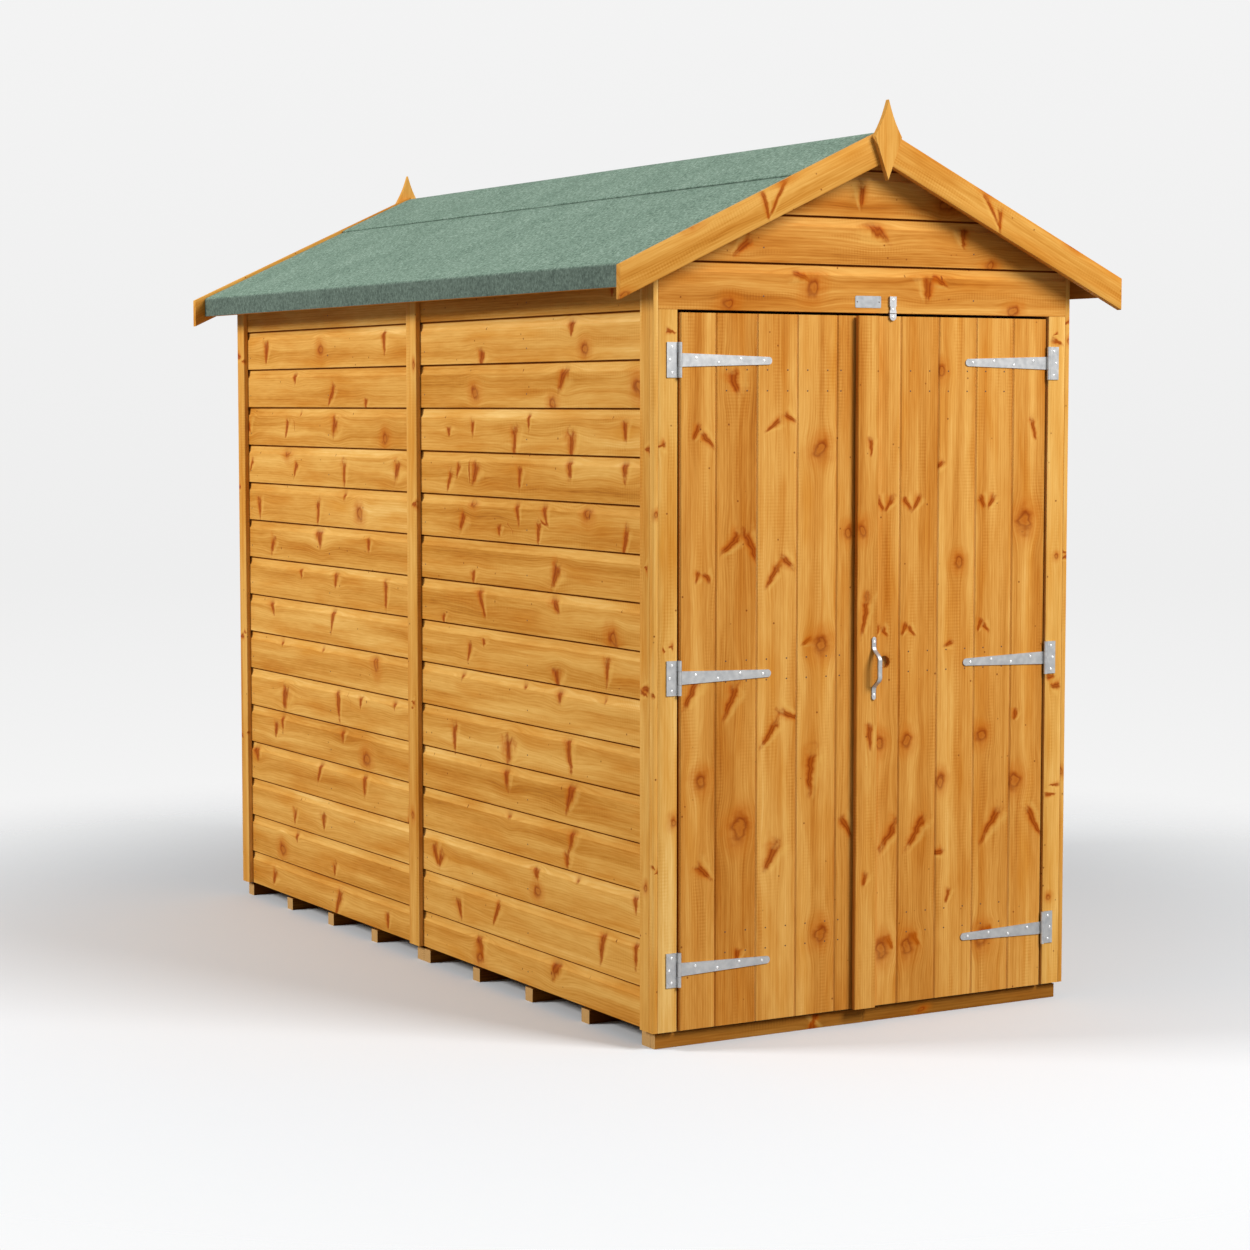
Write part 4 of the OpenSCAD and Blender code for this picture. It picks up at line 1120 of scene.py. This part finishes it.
def cut_out(name, outline, back, face, ease, out):
    """An outline in x and z carried along y from back to face, distances along out. Its first and last rings
    are drawn towards the middle by ease."""
    middle = (outline.min(0) + outline.max(0)) / 2
    inward = (middle - outline) / np.linalg.norm(middle - outline, axis=1)[:, None]
    rings = outline + inward * np.array([ease, 0, 0, ease])[:, None, None]
    depth = np.array([back, back + ease, face - ease, face])[:, None] * out[1]
    points = np.stack(np.broadcast_arrays(rings[..., 0], depth, rings[..., 1]), -1)
    size = len(outline)
    ahead = np.roll(outline, -1, axis=0)
    turning = np.sum(outline[:, 0] * ahead[:, 1] - ahead[:, 0] * outline[:, 1]) * out[1]
    order = -1 if turning > 0 else 1
    cap = np.arange(size)[::-order]
    faces = ring_faces(4, size)[:, ::order].tolist() + [cap.tolist(), (cap[::-1] + 3 * size).tolist()]
    return new_mesh(name, points, faces), points.reshape(-1, 3)


def finial(name, node, out, seed):
    """A kite. From the tip down to the shoulder its half width grows evenly, less a bow of half a sine wave,
    and from the shoulder it narrows straight to the lower point."""
    low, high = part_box(node)
    t = np.linspace(0, 1, FINIAL_POINTS)
    bow = FINIAL_HOLLOW * np.sin(np.pi * t)
    side = np.stack([high.x * t - bow, high.z - FINIAL_SHOULDER * t - bow * high.x / FINIAL_SHOULDER], -1)
    outline = fine_loop(np.concatenate([side, [[0, low.z]], (side * [-1, 1])[:0:-1]]), FACE_STEP)
    back, face = sorted((low.y * out[1], high.y * out[1]))
    mesh, points = cut_out(name, outline, back, face, FINIAL_EASE, out)
    set_grain(mesh, np.stack([points[:, 2] + seed, points[:, 0] + points[:, 1] + seed / 3], -1))
    set_points(mesh, "tone", "FLOAT", np.full(len(points), FINIAL_TONE))
    place_piece(name, mesh, wall_wood, "shed", node)


finial("front_finial", "finial_front", -Y, 45)
finial("back_finial", "finial_back", Y, 46)

# %% [markdown]
# Roof boards
# The roof is boarded from the ridge to the eave with matchboard. Its underside shows at the overhangs and
# through the open doors.

# %% Roof boards
ROOF_BOARD = 0.1092
roof_half_w = roof_high.x
roof_front, roof_back = roof_low.y, roof_high.y
roof_edges = np.linspace(roof_front, roof_back, round((roof_back - roof_front) / ROOF_BOARD) + 1)
roof_face = ridge_top * np.cos(PITCH)
for name, node, side, seed in (
    ("left_roof_boards", "roof_panel_left", -1, 51), ("right_roof_boards", "roof_panel_right", 1, 52),
):
    up, down = slope_axes(side)
    timber = Timber(seed)
    for y0, y1 in zip(roof_edges[:-1], roof_edges[1:]):
        section = matchboard(y0, y1, roof_face - ROOF_T, roof_face)
        timber.board(section, (Y, up, down), plumb(FIT, 1), plumb(roof_half_w, 1), roof_face - ROOF_T)
    timber.piece(name, wall_wood, "shed", node, "frame_timber")

# %% [markdown]
# Mineral felt
# Roof felt is bitumen sheet rolled in crushed slate, here dyed green. Close up it is grit of about 1 mm.
# That is too fine for the picture, so the specks are drawn at 3 to 8 mm, with broader patches where the grit
# lies thinner. It is matt, and where it is folded down over the eave it is drawn darker, a painted shade on
# the drip.

# %% Felt material
FELT = ((0.0, "36473d"), (0.35, "607767"), (0.5, "738c7b"), (0.68, "8a9f8f"), (1.0, "afc0b0"))
FOLD_PAINTED_SHADE = ((0.0, "2a352f"), (1.0, "718275"))
GRIT_MM = 7
PATCH_MM = 130
GRIT_SPAN = 1.6
PATCH_SPAN = 0.26
felt_finish, tree, shader = new_material("green_mineral_felt")
place = add(tree, "TexCoord", out="Object")
grit = {"Vector": place, "Scale": 1000 / GRIT_MM, "Detail": 2.0, "Roughness": 0.7}
grit = add(tree, "TexNoise", grit)
patch = add(tree, "TexNoise", {"Vector": place, "Scale": 1000 / PATCH_MM, "Detail": 2.0})
middle = 0.5 - (GRIT_SPAN + PATCH_SPAN) / 2
value = add(tree, "Math", {0: grit, 1: GRIT_SPAN, 2: middle}, operation="MULTIPLY_ADD")
value = add(tree, "Math", {0: patch, 1: PATCH_SPAN, 2: value}, operation="MULTIPLY_ADD")
top_colour = add(tree, "ValToRGB", {0: value}, stops=FELT)
fold_painted_shade = add(tree, "ValToRGB", {0: value}, stops=FOLD_PAINTED_SHADE)
# The felt that hangs over the eave is mixed to the darker ramp: a painted shade on the drip.
fold = add(tree, "Attribute", out="Fac", attribute_name="fold")
colour = add(tree, "Mix", {0: fold, 6: top_colour, 7: fold_painted_shade}, out=2, data_type="RGBA")
bump = add(tree, "Bump", {"Strength": 0.5, "Distance": 0.001, "Height": value})
feed(tree, shader, {"Base Color": colour, "Roughness": 0.95, "Specular IOR Level": 0.2, "Normal": bump})
print("felt: grit at", GRIT_MM, "mm, patches at", PATCH_MM, "mm")

# %% [markdown]
# Felt sheets
# Felt isn't stiff. It is rolled out along the roof, bent down over the eave and covered at the ridge by one
# more strip, and it lies a little uneven everywhere. Each sheet is an upper and a lower line, carried along
# the roof, and only the upper line gets the slow waves, so the sheet never sinks into the boards.

# %% Felt sheets
FELT_T = 0.002
BEND_R = 0.007
BEND_POINTS = 8
DRIP_POINTS = 5
SLOPE_POINTS = 30
FELT_STEP = 0.04
FELT_SMOOTH = 50
WAVES = 5
WAVE_Y = (0.5, 1.5)
WAVE_X = (0.4, 1.2)
SIDE_WAVE = 0.0008


def slow_waves(y, x, seed, height):
    """Unevenness of a laid sheet, from 0 to height: the mean of a few sines, 0.4 to 1.5 m long."""
    rng = np.random.default_rng(seed)
    long_y, long_x = rng.uniform(*WAVE_Y, WAVES), rng.uniform(*WAVE_X, WAVES)
    shift = rng.uniform(0, 2 * np.pi, WAVES)
    waves = np.sin(2 * np.pi * (y[..., None] / long_y + x[..., None] / long_x) + shift)
    return height * (waves.mean(-1) + 1) / 2


def felt_sheet(name, upper, lower, fold, ends, seed, height, node):
    """A sheet between an upper and a lower line of x and z, carried along y. fold is 1 where it hangs."""
    outline = np.concatenate([upper, lower[::-1]])
    size, half = len(outline), len(upper)
    rows = int(np.ceil((ends[1] - ends[0]) / FELT_STEP)) + 1
    y = np.linspace(*ends, rows)[:, None]
    free = np.concatenate([1 - fold, np.zeros(half)])
    lift = slow_waves(y, outline[None, :, 0], seed, height) * free
    points = np.stack(np.broadcast_arrays(outline[:, 0], y, outline[:, 1] + lift), -1)
    strip = np.arange(half - 1)
    cap = np.stack([strip, strip + 1, size - 2 - strip, size - 1 - strip], -1)
    order = 1 if upper[-1, 0] > upper[0, 0] else -1
    shell = ring_faces(rows, size)[:, ::order]
    faces = np.concatenate([shell, cap[:, ::-order], (cap + (rows - 1) * size)[:, ::order]])
    mesh = new_mesh(name, points, faces.tolist())
    set_points(mesh, "fold", "FLOAT", np.tile(np.concatenate([fold, fold[::-1]]), rows))
    place_piece(name, mesh, felt_finish, "shed", node, FELT_SMOOTH)


def felt_lines(side):
    """A side's lines, down the slope, round an arc over the eave and down the drip, and their fold."""
    low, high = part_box("felt_right")
    drop = np.tan(PITCH)
    felt_top = ridge_top + FELT_T / np.cos(PITCH)
    bend_x = high.x - BEND_R
    bend_z = felt_top - drop * (bend_x + BEND_R * np.sin(PITCH)) - BEND_R * np.cos(PITCH)
    turn = np.linspace(np.pi / 2 - PITCH, 0, BEND_POINTS)
    arc = [bend_x, bend_z] + BEND_R * np.stack([np.cos(turn), np.sin(turn)], -1)
    x = np.linspace(0, arc[0, 0], SLOPE_POINTS, endpoint=False)
    drip_z = np.linspace(bend_z, low.z, DRIP_POINTS + 1)[1:]
    drip_x = np.full(DRIP_POINTS, high.x)
    upper = np.concatenate([
        np.stack([x, felt_top - drop * x], -1), arc, np.stack([drip_x, drip_z], -1),
    ])
    under = np.minimum(upper[:, 0], roof_half_w)
    lower_z = ridge_top - drop * under
    lower_z[-DRIP_POINTS:] = drip_z
    fold = np.concatenate([0 * x, np.linspace(0, 1, BEND_POINTS), np.ones(DRIP_POINTS)])
    return upper * [side, 1], np.stack([side * under, lower_z], -1), fold


felt_sheet("left_felt", *felt_lines(-1), (roof_front, roof_back), 61, SIDE_WAVE, "felt_left")
felt_sheet("right_felt", *felt_lines(1), (roof_front, roof_back), 62, SIDE_WAVE, "felt_right")

# %% [markdown]
# Ridge felt
# The strip over the ridge lies on both sides' sheets. It is fixed along its edges, so they are pressed down
# a little. Its line across the roof is a hyperbola, so it rounds the ridge instead of creasing there.

# %% Ridge felt
RIDGE_WAVE = 0.0006
RIDGE_LIFT = 0.0011
RIDGE_ROUND = 0.004
EDGE_PRESS = 0.0008
cap_low, cap_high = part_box("felt_ridge")
cap_x = np.linspace(cap_low.x, cap_high.x, SLOPE_POINTS + 1)
cap_z = ridge_top + FELT_T / np.cos(PITCH) + RIDGE_LIFT
cap_z = cap_z - np.tan(PITCH) * (np.hypot(cap_x, RIDGE_ROUND) - RIDGE_ROUND)
pressed = (np.abs(cap_x) > cap_high.x - FIT) * EDGE_PRESS
cap_lines = np.stack([cap_x, cap_z + FELT_T - pressed], -1), np.stack([cap_x, cap_z - pressed], -1)
felt_sheet("ridge_felt", *cap_lines, 0 * cap_x, (cap_low.y, cap_high.y), 63, RIDGE_WAVE, "felt_ridge")

# %% [markdown]
# Floor
# The floor is boarded along the shed on bearers that run across it. The sawn ends of the bearers show under
# the side walls, and a facing covers them along the front.

# %% Floor boards and bearers
PANEL_GAP = 0.0008
FACING_T = 0.020
BEARER_W = 0.038
BEARERS = 5
FLOOR_BOARDS = 5
FLOOR_BOLD = 0.6
# The bearers' sides are darker still: a painted shade.
BEARER_PAINTED_SHADE = -2.5

floor_low, floor_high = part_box("floor_deck")
halves_x = ((floor_low.x, -PANEL_GAP / 2), (PANEL_GAP / 2, floor_high.x))
halves_y = ((floor_low.y, -PANEL_GAP / 2), (PANEL_GAP / 2, floor_high.y))
floor = Timber(71)
for x0, x1 in halves_x:
    edges = np.linspace(x0, x1, FLOOR_BOARDS + 1)
    for a, b in zip(edges[:-1], edges[1:]):
        for y0, y1 in halves_y:
            section = matchboard(a, b, floor_high.z, floor_low.z)
            floor.board(section, (X, Z, Y), y0, y1, floor_high.z, FLOOR_BOLD)
floor.piece("floor_boards", floor_wood, "shed", "floor_deck", "floor_timber")

bearer_low, bearer_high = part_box("floor_bearers")
facing_y = bearer_low.y + FACING_T
runs_y = ((facing_y + PANEL_GAP, -PANEL_GAP / 2), (PANEL_GAP / 2, bearer_high.y))
starts_y = np.concatenate([np.linspace(y0, y1 - BEARER_W, BEARERS) for y0, y1 in runs_y])
bearers = Timber(72)
for x0, x1 in ((bearer_low.x, -PANEL_GAP / 2), (PANEL_GAP / 2, bearer_high.x)):
    facing = eased_box(bearer_low.z, bearer_high.z, -facing_y, -bearer_low.y)
    bearers.board(facing, (Z, -Y, X), x0, x1, -bearer_low.y, FLOOR_BOLD)
    for y in starts_y:
        section = eased_box(y, y + BEARER_W, bearer_low.z, bearer_high.z)
        bearers.board(section, (Y, Z, X), x0, x1, knots=NO_KNOTS, tone_and_painted_light=lambda _: BEARER_PAINTED_SHADE)
bearers.piece("bearers", bearer_wood_painted_shade, "shed", "floor_bearers", "floor_timber", end_wood)

# %% [markdown]
# Bright zinc
# The T hinges, the handle and the catch are steel with a bright zinc plating. It is a metal, pale and a
# little cloudy: the plating's crystals scatter the reflection in soft patches of a few millimetres. The
# hinges and the catch keep their CAD shape and only change their material.

# %% Ironmongery material
CLOUD_MM = 14
CLOUD_ROUGH = 0.08
ZINC_METAL = 0.9


def zinc(name, dark, pale, rough):
    """Plated steel with soft patches in its tone and its roughness."""
    made, tree, shader = new_material(name)
    place = add(tree, "TexCoord", out="Object")
    cloud = add(tree, "TexNoise", {"Vector": place, "Scale": 1000 / CLOUD_MM, "Detail": 2.0})
    tint = add(tree, "ValToRGB", {0: cloud}, stops=((0.25, dark), (0.75, pale)))
    dull = add(tree, "MapRange", {0: cloud, 3: rough - CLOUD_ROUGH, 4: rough + CLOUD_ROUGH})
    feed(tree, shader, {"Base Color": tint, "Roughness": dull, "Metallic": ZINC_METAL})
    return made


def refinish(nodes, finish):
    """Gives CAD nodes that keep their shape another material."""
    for node in nodes:
        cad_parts[node].data.materials.clear()
        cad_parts[node].data.materials.append(finish)
    print(finish.name, "on", len(nodes), "nodes")


bright_zinc = zinc("bright_zinc_plate", "a6a7a8", "b9b9b8", 0.42)
screw_zinc = zinc("bright_zinc_screws", "dcdcdc", "efefee", 0.3)
IRON_NODES = ("hinge_plates", "left_hinge_straps", "right_hinge_straps", "head_catch", "catch_keep")
refinish(IRON_NODES, bright_zinc)

# %% [markdown]
# Pull handle
# The handle is one bar, flat at its two feet and rounder where the hand holds it. So its section changes on
# the way: a rounded rectangle that is wide and thin at the feet gets thicker in the bow. Its path is a bent
# line whose corners are softened by a moving average, as a bar bends in a press.

# %% Pull handle
FOOT_L = 0.030
GRIP_L = 0.052
BAR_W = 0.012
BAR_T = 0.004
GRIP_T = 0.0075
BEND_SPAN = 21
PATH_POINTS = 241
BAR_SIDES = 20
BAR_SQUARE = 0.55
BAR_SMOOTH = 60
BLUNT = 0.995

hand_low, hand_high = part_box("pull_handle")
handle_x = (hand_low.x + hand_high.x) / 2
handle_z = (hand_low.z + hand_high.z) / 2
proud = hand_high.y - hand_low.y
end = (hand_high.z - hand_low.z) / 2
corner_z = np.array([-end, FOOT_L - end, -GRIP_L / 2, GRIP_L / 2, end - FOOT_L, end])
path_z = np.linspace(-end, end, PATH_POINTS)
rise = np.interp(path_z, corner_z, np.array([0, 0, 1, 1, 0, 0]))
rise = np.convolve(np.pad(rise, BEND_SPAN // 2, "edge"), np.full(BEND_SPAN, 1 / BEND_SPAN), "valid")
thick = BAR_T + (GRIP_T - BAR_T) * rise
path_out = thick / 2 + rise * (proud - GRIP_T)
slope = np.gradient(path_out, path_z)[:, None]
from_end = np.clip((np.abs(path_z) - end + BAR_W / 2) / (BAR_W / 2), 0, BLUNT)[:, None]
turn = np.linspace(0, 2 * np.pi, BAR_SIDES, endpoint=False)
cos, sin = np.cos(turn), np.sin(turn)
half_x = BAR_W / 2 * np.sqrt(1 - from_end ** 2) * np.sign(cos) * np.abs(cos) ** BAR_SQUARE
half_n = thick[:, None] / 2 * np.sign(sin) * np.abs(sin) ** BAR_SQUARE / np.hypot(1, slope)
bar_out = path_out[:, None] + half_n
bar_z = path_z[:, None] - half_n * slope * (1 - from_end)
bar_points = np.stack([handle_x + half_x, hand_high.y - bar_out, handle_z + bar_z], -1)
cap = np.arange(BAR_SIDES)
caps = [cap.tolist(), (cap[::-1] + (PATH_POINTS - 1) * BAR_SIDES).tolist()]
bar_faces = ring_faces(PATH_POINTS, BAR_SIDES)[:, ::-1].tolist() + caps
handle_mesh = new_mesh("bow_handle", bar_points, bar_faces)
place_piece("bow_handle", handle_mesh, bright_zinc, "right_door", "pull_handle", BAR_SMOOTH)

# %% [markdown]
# Screw and nail heads
# A screw head is a low dome with a small socket, and a nail head is a smaller and flatter one. Each is a
# profile turned about the axis it was driven along. All the heads on a body are joined in one mesh, placed
# by adding an array of places to the same rings of points.

# %% Screw and nail heads
SCREW = ((0.02, 0.45), (0.28, 0.5), (0.4, 1.0), (0.7, 0.92), (0.92, 0.55), (1.0, 0.0), (1.0, -0.5))
NAIL = ((0.02, 1.0), (0.6, 1.0), (1.0, 0.4), (1.0, -1.5))
HEAD_SIDES = 12
HEAD_SMOOTH = 50


def heads(name, groups, profile, radius, height, finish, body):
    """Turned heads. Point (n, i, j) is place n + radius r_i (cos t_j first + sin t_j second) + height h_i
    out, where first and second are square to out. groups pairs arrays of places with the way they face."""
    r, h = np.array(profile).T[..., None, None]
    turn = np.linspace(0, 2 * np.pi, HEAD_SIDES, endpoint=False)[:, None]
    points = []
    for places, out in groups:
        first = np.roll(out, 1)
        head = radius * r * (np.cos(turn) * first + np.sin(turn) * np.cross(out, first)) + height * h * out
        points.append(places[:, None, None] + head)
    points = np.concatenate(points)
    offsets = np.arange(len(points))[:, None] * len(r) * HEAD_SIDES
    quads = ring_faces(len(r), HEAD_SIDES)[:, ::-1] + offsets[..., None]
    faces = quads.reshape(-1, 4).tolist() + (np.arange(HEAD_SIDES) + offsets).tolist()
    place_piece(name, new_mesh(name, points, faces), finish, body, None, HEAD_SMOOTH)


def grid(x, y, z):
    """All combinations of the given coordinates as rows of x, y and z."""
    axes = np.meshgrid(np.atleast_1d(x), np.atleast_1d(y), np.atleast_1d(z), indexing="ij")
    return np.stack(axes, -1).reshape(-1, 3)


# %% [markdown]
# Screws
# Each strap is held by four screws in a slight zigzag and each plate by three, so their places follow from
# the pins of the three hinges. The handle and the catch have their own.

# %% Screws
STRAP_SCREWS = np.array([[0.045, 0.005], [0.105, -0.005], [0.165, 0.004], [0.228, 0.0]])
PLATE_SCREWS = np.array([[-0.019, -0.029], [-0.025, 0.0], [-0.019, 0.029]])
SCREW_R = 0.0034
SCREW_H = 0.0012
STRAP_T = 0.0025
KNUCKLE_R = 0.005
PLATE_H = 0.080
HINGE_MID_Z = 0.857
SCREW_EDGE = 0.008

plates_low, plates_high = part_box("hinge_plates")
door_face = lock_low.y
hinge_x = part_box("right_hinge_straps")[1].x - KNUCKLE_R
hinge_rows = (plates_low.z + PLATE_H / 2, HINGE_MID_Z, plates_high.z - PLATE_H / 2)


def hinge_screws(side, offsets):
    """Screw places for the three hinges of a side, from distances to the pin's axis and heights."""
    x = side * (hinge_x - offsets[:, 0])
    y = np.full(len(x), door_face - STRAP_T)
    return np.concatenate([np.stack([x, y, z + offsets[:, 1]], -1) for z in hinge_rows])


catch_low, catch_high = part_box("head_catch")
keep_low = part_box("catch_keep")[0]
catch_x = (catch_low.x + catch_high.x) / 2
shed_screws = np.concatenate([
    hinge_screws(-1, PLATE_SCREWS),
    hinge_screws(1, PLATE_SCREWS),
    grid(catch_x, catch_low.y, [catch_low.z + SCREW_EDGE, catch_high.z - SCREW_EDGE]),
])
right_screws = np.concatenate([
    hinge_screws(1, STRAP_SCREWS),
    grid(handle_x, hand_high.y - BAR_T, [hand_low.z + BAR_W, hand_high.z - BAR_W]),
    grid(catch_x, keep_low.y, keep_low.z + SCREW_EDGE),
])
left_screws = hinge_screws(-1, STRAP_SCREWS)
for body, places in (("shed", shed_screws), ("left_door", left_screws), ("right_door", right_screws)):
    heads(body + "_screws", [(places, -Y)], SCREW, SCREW_R, SCREW_H, screw_zinc, body)

# %% [markdown]
# Nails
# The cladding is nailed to the studs behind it, one nail a board and stud, and the door boards are nailed to
# the ledges, two nails a board at the top and bottom of each ledge. The nails were driven before the dip, so
# they're as brown as the wood round them, only darker.

# %% Nails
NAIL_R = 0.0019
NAIL_H = 0.0004
NAIL_UP = 0.034
SIDE_NAILS_Y = (-1.150, -0.590, -0.024, 0.590, 1.150)
END_NAILS_X = (-0.551, 0.0, 0.551)
GABLE_NAILS_X = (-0.30, 0.30)
LEDGE_H = 0.095
LEDGE_MID_Z = 0.866
LEDGE_NAILS = 0.024
BOARD_NAILS = 0.028

nail_steel, tree, shader = new_material("dipped_nail_heads")
feed(tree, shader, {"Base Color": linear("4a2a12"), "Roughness": 0.6})

side_top = roof_under(clad_x) - 2 * NAIL_UP
wall_rows = np.array([foot for foot, _ in board_edges(skirt_z, side_top)]) + NAIL_UP
gable_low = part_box("front_gable")[0]
gable_rows = gable_low.z + NAIL_UP + BOARD_COVER * np.arange(2)
wall_nails = (
    (grid(-clad_x, SIDE_NAILS_Y, wall_rows), -X),
    (grid(clad_x, SIDE_NAILS_Y, wall_rows), X),
    (grid(END_NAILS_X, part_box("back_wall")[1].y, wall_rows), Y),
    (grid(GABLE_NAILS_X, gable_low.y, gable_rows), -Y),
)
heads("wall_nails", wall_nails, NAIL, NAIL_R, NAIL_H, nail_steel, "shed")


def door_nails(name, body, edges, ledges):
    """Two nails a board at both edges of the three ledges of a door."""
    low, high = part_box(ledges)
    middles = (np.array(edges[:-1]) + np.array(edges[1:])) / 2
    x = np.concatenate([middles - BOARD_NAILS, middles + BOARD_NAILS])
    rows = np.array([low.z + LEDGE_H / 2, LEDGE_MID_Z, high.z - LEDGE_H / 2])
    z = np.concatenate([rows - LEDGE_NAILS, rows + LEDGE_NAILS])
    heads(name, [(grid(x, door_face, z), -Y)], NAIL, NAIL_R, NAIL_H, nail_steel, body)


door_nails("left_door_nails", "left_door", [*left_edges, left_high.x], "left_door_ledges")
door_nails("right_door_nails", "right_door", right_edges, "right_door_ledges")

# %% [markdown]
# Bare plate
# A small plate of satin metal is held over the doors by two pins.

# %% Bare plate
PLATE_X = (-0.045, 0.029)
PLATE_Z = (1.706, 1.734)
PLATE_T = 0.001
PLATE_ROUND = 0.003
PLATE_EASE = 0.0003
PIN_EDGE = 0.006
PIN_R = 0.0016
PIN_H = 0.0006
satin_metal = zinc("satin_metal_plate", "8c8e90", "9fa1a3", 0.45)
outline = eased_box(*PLATE_X, *PLATE_Z, PLATE_ROUND)
plate_mesh, _ = cut_out("bare_plate", outline, -gable_low.y, PLATE_T - gable_low.y, PLATE_EASE, -Y)
place_piece("bare_plate", plate_mesh, satin_metal, "shed", None)
pins = grid([PLATE_X[0] + PIN_EDGE, PLATE_X[1] - PIN_EDGE], gable_low.y - PLATE_T, sum(PLATE_Z) / 2)
heads("plate_pins", [(pins, -Y)], SCREW, PIN_R, PIN_H, nail_steel, "shed")

# %% [markdown]
# Frame timber inside
# The studs, rails, purlins and ledges are right as they are. They keep their CAD shape and get sawn timber
# that runs the long way of each: up the studs, along the rails and purlins, across the ledges.

# %% Frame timber
RUNS = {
    "z": ("left_wall_studs", "right_wall_studs", "back_wall_studs", "front_studs"),
    "y": ("left_wall_rails", "right_wall_rails", "purlins", "eave_battens"),
    "x": ("back_wall_rails", "head_rail", "left_door_ledges", "right_door_ledges"),
}
for run, nodes in RUNS.items():
    refinish(nodes, frame_wood[run])
